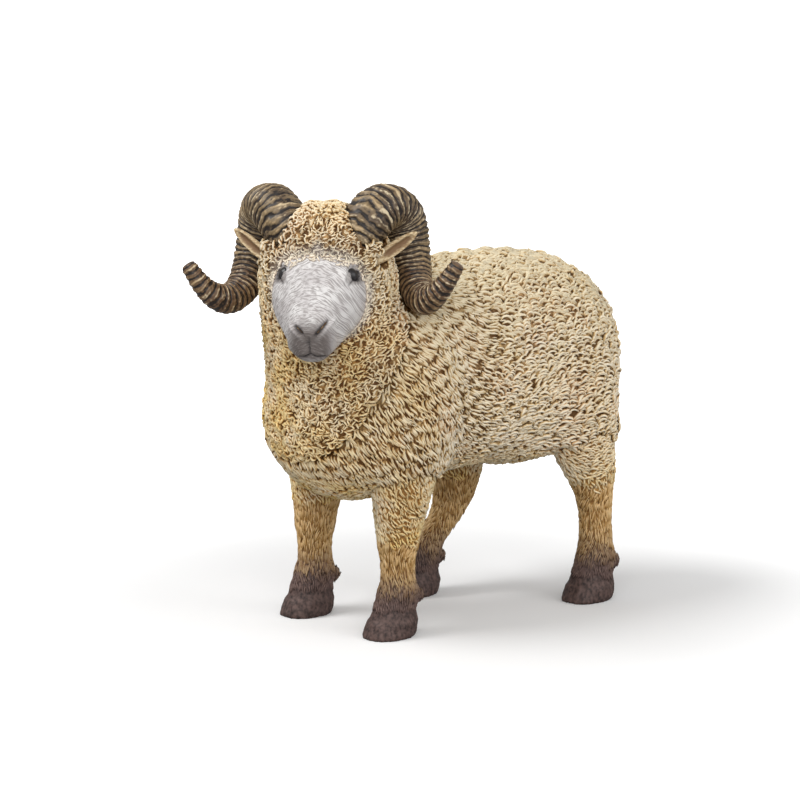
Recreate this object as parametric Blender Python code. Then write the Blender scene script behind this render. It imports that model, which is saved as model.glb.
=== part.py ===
# Toy ram: a moulded and painted farm animal figure that stands on four hooves.
# The fleece is sculpted as one form and parted where the mould makers part it: the neck plugs into the
# torso, and the legs, tail, horns and ears plug into pockets that follow their own shape.
# Metres, +Z up. The animal looks along -Y, its left side is +X, and it stands on z = 0.

import math

import bmesh
import bpy
from mathutils import Euler, Matrix, Vector

MM = 0.001

# Fits and working sizes
CLEARANCE = 0.3 * MM  # air between two plugged pieces, all round
OVERRUN = 2.0 * MM  # how far a cutter runs past what it cuts
WORKSHOP = 200.0 * MM  # side of the block that stands for everything beyond a parting plane
SCULPT_VOXEL = 1.1 * MM
SCULPT_BLEND_ROUNDS = 9
RING_SIDES = 16
WELD = 0.01 * MM
SHARP_FROM = math.radians(50)
TUFTS_SHARP_FROM = math.radians(12)  # so that each tuft catches the light

# Torso
TORSO_FRONT = 33.0 * MM  # from the middle of the figure forwards to the chest
TORSO_REAR = 34.8 * MM  # and back to the rump
TORSO_WIDTH = 40.0 * MM
BACK_HEIGHT = 66.9 * MM
BELLY_HEIGHT = 27.5 * MM

# Chest and neck
CHEST_WIDTH = 34.0 * MM
CHEST_REACH = 37.0 * MM  # forwards, to the foremost fleece
CHEST_DEPTH = 31.0 * MM
CHEST_HEIGHT = 39.5 * MM
NECK_BASE_WIDTH = 33.0 * MM
NECK_TOP_WIDTH = 26.0 * MM

# Shoulders and haunches, the muscle under the fleece that runs down over each leg
SHOULDER = {"width": 17.0 * MM, "length": 24.0 * MM, "high": 59.0 * MM, "low": 29.0 * MM, "spread": 11.8 * MM,
            "back": -16.0 * MM}
HAUNCH = {"width": 17.0 * MM, "length": 24.5 * MM, "high": 60.0 * MM, "low": 29.5 * MM, "spread": 11.8 * MM,
          "back": 18.4 * MM}
GROIN = {"width": 29.0 * MM, "length": 26.0 * MM, "height": 13.0 * MM, "back": 14.0 * MM, "centre": 33.0 * MM}

# Tufts that stand out all over the fleece: from a tuft's top to the groove beside it, and how high over it
TUFT_STEP = 2.7 * MM
TUFT_HEIGHT = 0.6 * MM

# Head: the skull's middle, and how far the head turns to the animal's left
HEAD_LEFT = 5.2 * MM
HEAD_FORWARD = 31.8 * MM
HEAD_HEIGHT = 67.6 * MM
HEAD_TURN = math.radians(42)
HEAD_FLEECE_WIDTH = 23.5 * MM
HEAD_FLEECE_LENGTH = 20.0 * MM
HEAD_FLEECE_HEIGHT = 21.0 * MM
HEAD_FLEECE_BEHIND = 4.8 * MM  # of the fleece's middle, from the skull's
HEAD_FLEECE_ABOVE = 1.6 * MM
NECK_TOP_BEHIND = 6.0 * MM
FORELOCK = {"width": 23.5 * MM, "length": 16.0 * MM, "height": 13.0 * MM, "behind": 1.5 * MM, "above": 6.0 * MM}
EAR_TUFT = {"width": 7.0 * MM, "length": 6.0 * MM, "height": 7.5 * MM, "spread": 8.7 * MM, "forward": 1.6 * MM,
            "above": 2.2 * MM}

# Face
FACE_REACH = 15.2 * MM  # from the skull's middle forwards to the nose
FACE_DROP = 14.4 * MM  # and down to the chin
FACE_WIDTH = 16.8 * MM
EYE_RADIUS = 1.9 * MM
EYE_SPREAD = 5.5 * MM
NOSTRIL_WIDTH = 0.9 * MM
NOSTRIL_LENGTH = 2.6 * MM
NOSTRIL_SPREAD = 2.7 * MM
MOUTH_WIDTH = 5.6 * MM
MOUTH_DEPTH = 2.4 * MM
MOUTH_GAP = 0.5 * MM

# Neck joint: a flat parting that leans forwards, with a tapered plug at its middle
NECK_PARTING_TOP_BACK = -14.0 * MM
NECK_PARTING_HEIGHT = 51.0 * MM
NECK_PARTING_BACK = -23.5 * MM
NECK_PLUG_RADIUS = 7.0 * MM
NECK_PLUG_TIP_RADIUS = 6.0 * MM
NECK_PLUG_LENGTH = 8.0 * MM

# Horns
HORN_THICKNESS = 9.2 * MM
HORN_SPREAD = 25.0 * MM  # from the head's middle out to the tip
HORN_CURL_RADIUS = 8.0 * MM
HORN_CURL_BACK = 4.5 * MM  # of the curl's middle, from the skull's
HORN_CURL_HEIGHT = 2.6 * MM
HORN_RINGS = 34
HORN_RING_DEPTH = 0.35 * MM
HORN_SIDES = 12
HORN_SAG = 0.9 * MM  # how much lower the right horn's tip hangs
HORN_PEG_RADIUS = 2.0 * MM
HORN_PEG_LENGTH = 3.0 * MM

# Ears
EAR_LENGTH = 9.0 * MM
EAR_WIDTH = 3.3 * MM
EAR_THICKNESS = 1.9 * MM
EAR_ROOT_SPREAD = 9.8 * MM
EAR_ROOT_HEIGHT = 2.3 * MM
EAR_ROOT_FORWARD = 1.2 * MM
EAR_HOLLOW_DEPTH = 0.8 * MM

# Tail, docked
TAIL_WIDTH = 6.4 * MM
TAIL_THICKNESS = 4.6 * MM
TAIL_LENGTH = 15.0 * MM
TAIL_HEIGHT = 57.0 * MM  # of its root
TAIL_ROOT_BACK = 29.0 * MM

# Legs, all four
CANNON_WIDTH = 5.5 * MM
CANNON_DEPTH = 6.1 * MM
THIGH_WIDTH = 11.0 * MM
THIGH_DEPTH = 12.5 * MM
LEG_TOP_HEIGHT = 36.5 * MM
FETLOCK_HEIGHT = 8.4 * MM
FETLOCK_WIDTH = 6.6 * MM
FETLOCK_DEPTH = 7.4 * MM
HOOF_WIDTH = 8.2 * MM
HOOF_LENGTH = 10.3 * MM
HOOF_HEIGHT = 3.6 * MM
HOOF_FORWARD = 2.2 * MM  # of the sole's middle, from the fetlock's
CLEFT_WIDTH = 0.8 * MM
CLEFT_DEPTH = 3.4 * MM
DEWCLAW_RADIUS = 0.95 * MM

# Where each leg's joints stand: to the animal's left, backwards, and for the knee or hock its height
FRONT_LEGS = {
    "leg_front_left": {
        "foot": (11.0 * MM, -19.2 * MM), "bend": (11.2 * MM, -19.4 * MM, 18.0 * MM), "top": (12.0 * MM, -18.0 * MM)},
    "leg_front_right": {
        "foot": (-12.3 * MM, -20.0 * MM), "bend": (-12.1 * MM, -20.0 * MM, 18.0 * MM), "top": (-12.0 * MM, -18.0 * MM)},
}
HIND_LEGS = {
    "leg_hind_left": {
        "foot": (13.3 * MM, 27.9 * MM), "bend": (12.8 * MM, 27.4 * MM, 21.5 * MM), "top": (12.2 * MM, 22.5 * MM)},
    "leg_hind_right": {
        "foot": (-11.2 * MM, 5.2 * MM), "bend": (-11.6 * MM, 13.6 * MM, 18.0 * MM), "top": (-12.0 * MM, 13.6 * MM)},
}

# Paint, as (red, green, blue) and roughness
PAINT = {
    "fleece": ((0.62, 0.50, 0.33), 0.75),
    "horn": ((0.16, 0.115, 0.08), 0.5),
    "ear": ((0.64, 0.52, 0.36), 0.65),
    "leg": ((0.50, 0.34, 0.18), 0.7),
}

FORWARD = Vector((0, -1, 0))
LEFT = Vector((1, 0, 0))
UP = Vector((0, 0, 1))


def clear_scene():
    for obj in list(bpy.data.objects):
        bpy.data.objects.remove(obj)


def material(name):
    colour, roughness = PAINT[name]
    made = bpy.data.materials.new(name + "_paint")
    made.use_nodes = True
    shader = made.node_tree.nodes["Principled BSDF"]
    shader.inputs["Base Color"].default_value = (*colour, 1)
    shader.inputs["Roughness"].default_value = roughness
    shader.inputs["Metallic"].default_value = 0
    return made


def object_of(name, mesh, parent=None, cutter=False):
    """An object that holds the mesh. A cutter is left out of the render."""
    obj = bpy.data.objects.new(name, mesh)
    bpy.context.scene.collection.objects.link(obj)
    obj.parent = parent
    if cutter:
        obj.hide_render = True
        obj.display_type = "WIRE"
    return obj


def oval_ring(centre, across, along, half_across, half_along, power=2.0, sides=RING_SIDES):
    """Points of a superellipse round centre, in the plane of the across and along directions."""
    ring = []
    for index in range(sides):
        angle = 2 * math.pi * index / sides
        c = math.cos(angle)
        s = math.sin(angle)
        x = math.copysign(abs(c) ** (2 / power), c) * half_across
        y = math.copysign(abs(s) ** (2 / power), s) * half_along
        ring.append(centre + across * x + along * y)
    return ring


def loft(bm, rings):
    """Adds a closed skin over rings of equal length to bm."""
    loops = [[bm.verts.new(point) for point in ring] for ring in rings]
    count = len(loops[0])
    for lower, upper in zip(loops, loops[1:]):
        for index in range(count):
            following = (index + 1) % count
            bm.faces.new((lower[index], lower[following], upper[following], upper[index]))
    bm.faces.new(reversed(loops[0]))
    bm.faces.new(loops[-1])


def mesh_of(name, bm):
    """The finished mesh of bm, facing outwards and shaded smooth where it turns gently."""
    bmesh.ops.recalc_face_normals(bm, faces=bm.faces)
    mesh = bpy.data.meshes.new(name)
    bm.to_mesh(mesh)
    bm.free()
    mesh.shade_smooth()
    mesh.set_sharp_from_angle(angle=SHARP_FROM)
    return mesh


def lofted(name, rings, parent=None, cutter=False):
    bm = bmesh.new()
    loft(bm, rings)
    return object_of(name, mesh_of(name, bm), parent, cutter)


def add_ellipsoid(bm, centre, width, length, height, turn=0.0, fineness=3):
    """Adds an ellipsoid of these full sizes, turned about the vertical, to bm."""
    placed = Matrix.Translation(centre) @ Matrix.Rotation(turn, 4, "Z")
    sized = Matrix.Diagonal((width / 2, length / 2, height / 2, 1))
    bmesh.ops.create_icosphere(bm, subdivisions=fineness, radius=1, matrix=placed @ sized)


def boolean(target, other, operation):
    cut = target.modifiers.new(other.name, "BOOLEAN")
    cut.operation = operation
    cut.object = other
    cut.solver = "EXACT"


def subtract(target, other):
    boolean(target, other, "DIFFERENCE")


def unite(target, other):
    boolean(target, other, "UNION")


def settle(obj):
    """Puts the evaluated mesh in place of the object's mesh and modifiers."""
    graph = bpy.context.evaluated_depsgraph_get()
    mesh = bpy.data.meshes.new_from_object(obj.evaluated_get(graph))
    bm = bmesh.new()
    bm.from_mesh(mesh)
    bmesh.ops.triangulate(bm, faces=bm.faces)
    turn_shared_diagonals(bm)
    tidy_slivers(bm)
    bm.to_mesh(mesh)
    bm.free()
    obj.modifiers.clear()
    obj.data = mesh
    obj.data.shade_smooth()


def neighbours(vertex):
    return {edge.other_vert(vertex) for edge in vertex.link_edges}


def turn_shared_diagonals(bm):
    """Where a many-sided face was split along an edge that other faces already had, splits it the other way."""
    for edge in [edge for edge in bm.edges if len(edge.link_faces) > 2]:
        pairs = [(one, two) for one in edge.link_faces for two in edge.link_faces if one.index < two.index]
        for one, two in sorted(pairs, key=lambda pair: -pair[0].normal.dot(pair[1].normal)):
            tips = [corner for face in (one, two) for corner in face.verts if corner not in edge.verts]
            if tips[0] == tips[1] or tips[1] in neighbours(tips[0]):
                continue
            loop = next(loop for loop in one.loops if loop.edge == edge)
            start, end = loop.vert, loop.link_loop_next.vert
            bmesh.ops.delete(bm, geom=[one, two], context="FACES_ONLY")
            bm.faces.new((tips[0], start, tips[1]))
            bm.faces.new((tips[1], end, tips[0]))
            break


def tidy_slivers(bm):
    """Takes out edges and faces too thin to matter, wherever the skin stays closed without them."""
    changed = True
    while changed:
        changed = False
        for edge in sorted(bm.edges, key=lambda edge: edge.calc_length()):
            if not edge.is_valid:
                continue
            if edge.calc_length() > WELD:
                break
            first, second = edge.verts
            if len(edge.link_faces) == 2 and len(neighbours(first) & neighbours(second)) == 2:
                bmesh.ops.pointmerge(bm, verts=[first, second], merge_co=first.co.copy())
                changed = True
    for face in list(bm.faces):
        if not face.is_valid:
            continue
        longest = max(face.edges, key=lambda edge: edge.calc_length())
        if face.calc_area() * 2 > WELD * longest.calc_length() or len(longest.link_faces) != 2:
            continue
        tips = [corner for side in longest.link_faces for corner in side.verts if corner not in longest.verts]
        if tips[1] not in neighbours(tips[0]):
            bmesh.ops.rotate_edges(bm, edges=[longest], use_ccw=False)


def interpolate(rows, share):
    """A smooth value between table rows, whose first number is the place along the table."""
    last = len(rows) - 1
    index = max(i for i in range(last) if rows[i][0] <= share or i == 0)
    before = rows[max(index - 1, 0)]
    start = rows[index]
    end = rows[index + 1]
    after = rows[min(index + 2, last)]
    t = (share - start[0]) / (end[0] - start[0])
    values = []
    for column in range(1, len(start)):
        slope_in = (end[column] - before[column]) / (end[0] - before[0])
        slope_out = (after[column] - start[column]) / (after[0] - start[0])
        span = end[0] - start[0]
        h00 = 2 * t ** 3 - 3 * t ** 2 + 1
        h10 = t ** 3 - 2 * t ** 2 + t
        h01 = -2 * t ** 3 + 3 * t ** 2
        h11 = t ** 3 - t ** 2
        values.append(h00 * start[column] + h10 * span * slope_in + h01 * end[column] + h11 * span * slope_out)
    return values


def spline(rows, share):
    """The values of a smooth curve that table rows pull towards themselves, this far along it."""
    last = len(rows) - 1
    place = share * last
    index = min(int(place), last - 1)
    t = place - index
    weights = ((1 - t) ** 3, 3 * t ** 3 - 6 * t ** 2 + 4, 3 * t * (1 + t - t ** 2) + 1, t ** 3)
    values = []
    for column in range(len(rows[0])):
        before, start, end, after = [
            2 * rows[0][column] - rows[1][column] if row < 0
            else 2 * rows[last][column] - rows[last - 1][column] if row > last
            else rows[row][column]
            for row in range(index - 1, index + 3)]
        pulls = zip(weights, (before, start, end, after))
        values.append(sum(weight * value for weight, value in pulls) / sum(weights))
    return values


# Barrel sections from chest to rump: place along the torso from -1 (front) to 1 (rear), then the width,
# the top and the bottom as shares of the torso's width and of the body's depth above the belly
BARREL_SHARES = (
    (-1.00, 0.38, 0.70, 0.26),
    (-0.90, 0.62, 0.82, 0.10),
    (-0.68, 0.82, 0.925, 0.01),
    (-0.36, 0.93, 0.98, -0.02),
    (0.00, 0.99, 0.995, 0.00),
    (0.28, 1.00, 1.00, 0.01),
    (0.50, 0.99, 0.995, 0.00),
    (0.70, 0.95, 0.965, 0.02),
    (0.85, 0.86, 0.90, 0.08),
    (0.95, 0.68, 0.80, 0.14),
    (1.00, 0.40, 0.68, 0.26),
)
BARREL_ROUNDNESS = 2.25


def barrel_rings():
    rings = []
    depth = BACK_HEIGHT - BELLY_HEIGHT
    for along, width, top, bottom in BARREL_SHARES:
        y = along * (TORSO_FRONT if along < 0 else TORSO_REAR)
        high = BELLY_HEIGHT + top * depth
        low = BELLY_HEIGHT + bottom * depth
        centre = Vector((0, y, (high + low) / 2))
        rings.append(oval_ring(centre, LEFT, UP, width * TORSO_WIDTH / 2, (high - low) / 2, BARREL_ROUNDNESS))
    return rings


# Neck sections from its base to the crown: share of the way up, then how far each has gone across to the
# head and forwards to it, and its width between the base's (0) and the top's (1)
NECK_SHARES = (
    (0.00, 0.00, 0.00, 0.10),
    (0.22, 0.05, 0.18, 0.00),
    (0.45, 0.25, 0.45, 0.42),
    (0.68, 0.65, 0.75, 0.80),
    (0.88, 0.95, 0.96, 1.00),
    (1.00, 1.00, 1.00, 1.10),
)
NECK_BASE_HEIGHT = 36.0 * MM
NECK_BASE_BACK = -18.0 * MM


def neck_rings():
    top = skull_centre(NECK_TOP_BEHIND)
    rings = []
    for up, across, forwards, narrowing in NECK_SHARES:
        width = NECK_BASE_WIDTH + (NECK_TOP_WIDTH - NECK_BASE_WIDTH) * narrowing
        centre = Vector((
            top.x * across,
            NECK_BASE_BACK + (top.y - NECK_BASE_BACK) * forwards,
            NECK_BASE_HEIGHT + (top.z - NECK_BASE_HEIGHT) * up,
        ))
        rings.append(oval_ring(centre, LEFT, FORWARD, width / 2, width / 2))
    return rings


def skull_centre(behind=0.0, above=0.0):
    """The skull's middle, or a point behind and above it as the head looks."""
    middle = Vector((HEAD_LEFT, -HEAD_FORWARD, HEAD_HEIGHT))
    return middle - Euler((0, 0, HEAD_TURN)).to_matrix() @ FORWARD * behind + UP * above


# A muscle from its top down to where the leg leaves the fleece: place, then width and length as shares
MUSCLE_SHARES = (
    (0.00, 0.30, 0.30),
    (0.10, 0.66, 0.66),
    (0.28, 0.97, 0.95),
    (0.50, 1.00, 1.00),
    (0.70, 0.90, 0.86),
    (0.88, 0.80, 0.74),
    (1.00, 0.76, 0.68),
)


def muscle_rings(muscle, leg):
    side = math.copysign(1, leg["top"][0])
    rings = []
    for down, width, length in MUSCLE_SHARES:
        x = side * muscle["spread"] + (leg["top"][0] - side * muscle["spread"]) * down
        y = muscle["back"] + (leg["top"][1] + (leg["bend"][1] - leg["top"][1]) / 2 - muscle["back"]) * down ** 2
        z = muscle["high"] + (muscle["low"] - muscle["high"]) * down
        rings.append(oval_ring(Vector((x, y, z)), LEFT, FORWARD, width * muscle["width"] / 2,
                               length * muscle["length"] / 2))
    return rings


# Tufts are flat low down, where the fleece thins out over the legs, and full from the legs' tops up
TUFTS_START_SHARE = 0.78


def horn_balls():
    """Middle and radius of the horns at points along them, as they lie in the fleece."""
    turn = Euler((0, 0, HEAD_TURN)).to_matrix()
    for side in (1, -1):
        for ring in range(HORN_RINGS + 1):
            share = ring / HORN_RINGS
            *_, thickness, width = spline(HORN_SHARES, share)
            yield skull_centre() + turn @ horn_centre(share, side), HORN_THICKNESS / 2 * thickness * max(width, 1)


def raise_tufts(mesh):
    """Moves every second point of the fleece's even net out for a tuft and the rest in for the grooves.

    The tufts fade out down the legs and beside the horns, whose seats would cut their tops loose."""
    balls = list(horn_balls())
    bm = bmesh.new()
    bm.from_mesh(mesh)
    bm.verts.ensure_lookup_table()
    steps = {}
    for start in bm.verts:
        ring = [] if start in steps else [start]
        count = 0
        while ring:
            steps.update((vertex, count) for vertex in ring)
            ring = [vertex for vertex in dict.fromkeys(edge.other_vert(near) for near in ring for edge in near.link_edges)
                    if vertex not in steps]
            count += 1
    for face in list(bm.faces):
        low = [corner for corner in face.verts if steps[corner] % 2]
        if len(face.verts) == 4 and len(low) == 2 and low[1] not in neighbours(low[0]):
            bmesh.utils.face_split(face, *low)
    moves = []
    for vertex in bm.verts:
        above_legs = (vertex.co.z / LEG_TOP_HEIGHT - TUFTS_START_SHARE) / (1 - TUFTS_START_SHARE)
        off_horns = min((vertex.co - middle).length - radius for middle, radius in balls) / TUFT_STEP
        height = TUFT_HEIGHT * min(max(min(above_legs, off_horns), 0), 1)
        moves.append(vertex.normal * (height * (0.5 - steps[vertex] % 2)))
    for vertex, move in zip(bm.verts, moves):
        vertex.co += move
    bm.to_mesh(mesh)
    bm.free()


def fleece_sculpt():
    """The whole fleece as one blended form: torso, muscle, chest, neck and the wool of the head."""
    bm = bmesh.new()
    loft(bm, barrel_rings())
    loft(bm, neck_rings())
    for muscle, legs in ((SHOULDER, FRONT_LEGS), (HAUNCH, HIND_LEGS)):
        for leg in legs.values():
            loft(bm, muscle_rings(muscle, leg))
    add_ellipsoid(bm, Vector((0, GROIN["back"], GROIN["centre"])), GROIN["width"], GROIN["length"], GROIN["height"])
    chest = Vector((0, -CHEST_REACH + CHEST_DEPTH / 2, CHEST_HEIGHT))
    add_ellipsoid(bm, chest, CHEST_WIDTH, CHEST_DEPTH, CHEST_DEPTH)
    crown = skull_centre(HEAD_FLEECE_BEHIND, HEAD_FLEECE_ABOVE)
    add_ellipsoid(bm, crown, HEAD_FLEECE_WIDTH, HEAD_FLEECE_LENGTH, HEAD_FLEECE_HEIGHT, HEAD_TURN)
    brow = skull_centre(FORELOCK["behind"], FORELOCK["above"])
    add_ellipsoid(bm, brow, FORELOCK["width"], FORELOCK["length"], FORELOCK["height"], HEAD_TURN)
    sideways = Euler((0, 0, HEAD_TURN)).to_matrix() @ LEFT * EAR_TUFT["spread"]
    for side in (1, -1):
        tuft = skull_centre(-EAR_TUFT["forward"], EAR_TUFT["above"]) + sideways * side
        add_ellipsoid(bm, tuft, EAR_TUFT["width"], EAR_TUFT["length"], EAR_TUFT["height"], HEAD_TURN)
    sculpt = object_of("fleece_sculpt", mesh_of("fleece_sculpt", bm), cutter=True)
    blocks = sculpt.modifiers.new("blend", "REMESH")
    blocks.mode = "VOXEL"
    blocks.voxel_size = SCULPT_VOXEL
    smooth = sculpt.modifiers.new("smooth", "SMOOTH")
    smooth.iterations = SCULPT_BLEND_ROUNDS
    settle(sculpt)
    net = sculpt.modifiers.new("net", "REMESH")
    net.mode = "VOXEL"
    net.voxel_size = TUFT_STEP
    graph = bpy.context.evaluated_depsgraph_get()
    sculpt.data = bpy.data.meshes.new_from_object(sculpt.evaluated_get(graph))
    sculpt.modifiers.clear()
    raise_tufts(sculpt.data)
    settle(sculpt)
    return sculpt


def parting_normal():
    """The neck parting's normal, which points up the neck."""
    along = Vector((0, NECK_PARTING_TOP_BACK - NECK_PARTING_BACK, BACK_HEIGHT - NECK_PARTING_HEIGHT)).normalized()
    return LEFT.cross(along)


def parting_block(name, offset):
    """Everything that lies up the neck from the parting plane, moved along its normal by offset."""
    middle = Vector((0, NECK_PARTING_BACK, NECK_PARTING_HEIGHT))
    normal = parting_normal()
    bm = bmesh.new()
    bmesh.ops.create_cube(bm, size=WORKSHOP)
    block = object_of(name, mesh_of(name, bm), cutter=True)
    block.rotation_mode = "QUATERNION"
    block.rotation_quaternion = normal.to_track_quat("Z", "X")
    block.location = middle + normal * (WORKSHOP / 2 + offset)
    return block


def neck_plug(name, grow, root):
    """The plug that runs from the neck piece down into the torso. Its root starts that far up the neck."""
    middle = Vector((0, NECK_PARTING_BACK, NECK_PARTING_HEIGHT))
    normal = parting_normal()
    across = LEFT
    along = normal.cross(across)
    places = (
        (root, NECK_PLUG_RADIUS + grow),
        (0, NECK_PLUG_RADIUS + grow),
        (-NECK_PLUG_LENGTH - grow, NECK_PLUG_TIP_RADIUS + grow),
    )
    rings = [oval_ring(middle + normal * place, across, along, radius, radius) for place, radius in places]
    return lofted(name, rings, cutter=True)


# The face from behind the eyes to the lips, as sections that fan out round the jaw: the top's place
# forwards and up, the bottom's, and the width. Forwards is a share of the reach, up one of the drop
FACE_SHARES = (
    (-0.12, 0.42, -0.30, -0.50, 0.90),
    (0.20, 0.375, -0.04, -0.66, 0.98),
    (0.38, 0.245, 0.12, -0.72, 1.00),
    (0.50, 0.12, 0.26, -0.77, 0.98),
    (0.62, -0.03, 0.39, -0.825, 0.87),
    (0.74, -0.185, 0.52, -0.88, 0.72),
    (0.85, -0.33, 0.65, -0.94, 0.605),
    (0.94, -0.43, 0.76, -0.99, 0.565),
    (0.985, -0.51, 0.855, -0.98, 0.51),
    (1.00, -0.60, 0.92, -0.87, 0.36),
)
FACE_ROUNDNESS = 2.25
EYE_PLACE_SHARE = (0.37, 0.02)  # forwards and up
NOSTRIL_PLACE_SHARE = (0.965, -0.50)
MOUTH_PLACE_SHARE = (0.93, -0.86)
NOSTRIL_ROLL = math.radians(34)
NOSTRIL_YAW = math.radians(30)
NOSTRIL_PITCH = math.radians(22)


def in_profile(place, spread=0.0):
    """A point of the head's own frame, which looks along -Y, from its shares forwards and up."""
    return FORWARD * (place[0] * FACE_REACH) + UP * (place[1] * FACE_DROP) + LEFT * spread


def face_rings():
    rings = []
    for top_forward, top_up, low_forward, low_up, width in FACE_SHARES:
        top = in_profile((top_forward, top_up))
        low = in_profile((low_forward, low_up))
        rings.append(oval_ring((top + low) / 2, LEFT, (top - low).normalized(), width * FACE_WIDTH / 2,
                               (top - low).length / 2, FACE_ROUNDNESS))
    return rings


def slanted_ellipsoid(name, centre, sizes, rotation, parent):
    bm = bmesh.new()
    sized = Matrix.Diagonal((*[size / 2 for size in sizes], 1))
    placed = Matrix.Translation(centre) @ rotation.to_4x4()
    bmesh.ops.create_icosphere(bm, subdivisions=2, radius=1, matrix=placed @ sized)
    return object_of(name, mesh_of(name, bm), parent, cutter=True)


def make_neck_and_head(sculpt, head):
    """One moulding: the maned neck with its plug, the wool of the head and the bare face."""
    piece = object_of("neck_and_head", sculpt.data.copy())
    ahead = parting_block("neck_side", CLEARANCE / 2)
    boolean(piece, ahead, "INTERSECT")
    unite(piece, neck_plug("neck_plug", 0, OVERRUN))
    face = lofted("face_form", face_rings(), head, cutter=True)
    unite(piece, face)
    for side in (1, -1):
        sizes = [2 * EYE_RADIUS] * 3
        centre = in_profile(EYE_PLACE_SHARE, side * EYE_SPREAD)
        unite(piece, slanted_ellipsoid(f"eye_form_{side}", centre, sizes, Matrix.Identity(3), head))
        slant = Euler((NOSTRIL_PITCH, -NOSTRIL_ROLL * side, NOSTRIL_YAW * side)).to_matrix()
        sizes = (NOSTRIL_LENGTH, NOSTRIL_LENGTH, NOSTRIL_WIDTH)
        centre = in_profile(NOSTRIL_PLACE_SHARE, side * NOSTRIL_SPREAD)
        subtract(piece, slanted_ellipsoid(f"nostril_{side}", centre, sizes, slant, head))
    sizes = (MOUTH_WIDTH, MOUTH_DEPTH * 2, MOUTH_GAP)
    lips = in_profile(MOUTH_PLACE_SHARE)
    subtract(piece, slanted_ellipsoid("mouth_line", lips, sizes, Matrix.Identity(3), head))
    return piece


# Control points of the horn's axis from its root to its tip: spread as a share of the tip's, forwards and
# up from the curl's middle as shares of its radius, thickness, and width as a share of the thickness
HORN_SHARES = (
    (0.217, 0.527, 0.231, 0.970, 0.88),
    (0.276, 0.459, 0.648, 1.002, 1.00),
    (0.350, 0.210, 1.005, 0.964, 1.06),
    (0.440, -0.274, 1.122, 0.903, 1.16),
    (0.505, -0.772, 0.780, 0.840, 1.22),
    (0.555, -0.833, 0.079, 0.785, 1.16),
    (0.596, -0.572, -0.538, 0.735, 1.04),
    (0.652, -0.109, -0.930, 0.685, 0.96),
    (0.736, 0.352, -0.999, 0.610, 0.92),
    (0.826, 0.635, -0.779, 0.520, 0.90),
    (0.905, 0.725, -0.430, 0.430, 0.90),
    (0.970, 0.740, -0.110, 0.350, 0.90),
)
HORN_TIP_CLOSING_SHARE = 0.35
HORN_SEAT_END_SHARE = 0.80  # of the horn's length, which beds in the wool
HORN_RING_STEPS = 2


def horn_centre(share, side):
    spread, forwards, up, _, _ = spline(HORN_SHARES, share)
    sag = HORN_SAG * share if side < 0 else 0
    middle = UP * (HORN_CURL_HEIGHT - sag) - FORWARD * HORN_CURL_BACK
    return middle + LEFT * (side * spread * HORN_SPREAD) + (FORWARD * forwards + UP * up) * HORN_CURL_RADIUS


def horn_axes(share, side):
    """The horn's direction and the two ways across it: outwards from the head and out from the curl."""
    step = 0.01
    before = horn_centre(max(share - step, 0), side)
    after = horn_centre(min(share + step, 1), side)
    along = (after - before).normalized()
    outwards = LEFT * side
    outwards = (outwards - along * outwards.dot(along)).normalized()
    return along, outwards, along.cross(outwards)


def horn_rings(side, grow=0.0, end=1.0):
    """Rings along the horn, swelling and shrinking with the growth rings. Grown by grow, and plain, for a seat."""
    rings = []
    steps = HORN_RINGS * HORN_RING_STEPS
    for index in range(0, steps + 1, HORN_RING_STEPS if grow else 1):
        share = index / steps
        if share > end:
            break
        *_, thickness, width = spline(HORN_SHARES, share)
        radius = thickness * HORN_THICKNESS / 2
        if share == 1:
            radius *= HORN_TIP_CLOSING_SHARE
        if index % HORN_RING_STEPS:
            radius -= HORN_RING_DEPTH * thickness
        _, outwards, curlwards = horn_axes(share, side)
        rings.append(oval_ring(horn_centre(share, side), outwards, curlwards,
                               radius * width + grow, radius + grow, sides=HORN_SIDES))
    return rings


def horn_peg(name, side, grow, head):
    """The round peg that holds the horn's root to the skull."""
    along, outwards, curlwards = horn_axes(0, side)
    root = horn_centre(0, side)
    rings = []
    for place in (OVERRUN, -HORN_PEG_LENGTH - grow):
        rings.append(oval_ring(root + along * place, outwards, curlwards, HORN_PEG_RADIUS + grow,
                               HORN_PEG_RADIUS + grow, sides=HORN_SIDES))
    return lofted(name, rings, head, cutter=True)


def make_horn(name, side, head, skull, torso):
    horn = lofted(name, horn_rings(side), head)
    unite(horn, horn_peg(name + "_peg", side, 0, head))
    behind = horn_axes(0, side)[0] * -CLEARANCE
    seat = horn_rings(side, CLEARANCE, HORN_SEAT_END_SHARE)
    seat[0] = [point + behind for point in seat[0]]
    recess = lofted(name + "_seat", seat, head, cutter=True)
    subtract(skull, recess)
    subtract(torso, recess)
    subtract(skull, horn_peg(name + "_peg_hole", side, CLEARANCE, head))
    return horn


# The ear from its root to its tip: place along it, then width and thickness as shares
EAR_SHARES = (
    (-0.22, 0.60, 0.84),
    (0.00, 0.70, 0.90),
    (0.25, 0.96, 1.00),
    (0.50, 1.00, 0.95),
    (0.75, 0.80, 0.80),
    (0.93, 0.45, 0.55),
    (1.00, 0.16, 0.25),
)
EAR_RISE = math.radians(31)
EAR_SWEEP = math.radians(30)
EAR_ROLL = math.radians(20)
EAR_SIDES = 12


def ear_axes(side):
    """Along the ear, across its leaf and through it."""
    along = Vector((side * math.cos(EAR_RISE) * math.cos(EAR_SWEEP), math.cos(EAR_RISE) * math.sin(EAR_SWEEP),
                    math.sin(EAR_RISE)))
    across = along.cross(FORWARD).normalized() * -side
    across = Matrix.Rotation(EAR_ROLL * side, 3, along) @ across
    return along, across, along.cross(across)


def ear_root(side):
    return Vector((side * EAR_ROOT_SPREAD, -EAR_ROOT_FORWARD, EAR_ROOT_HEIGHT))


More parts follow.
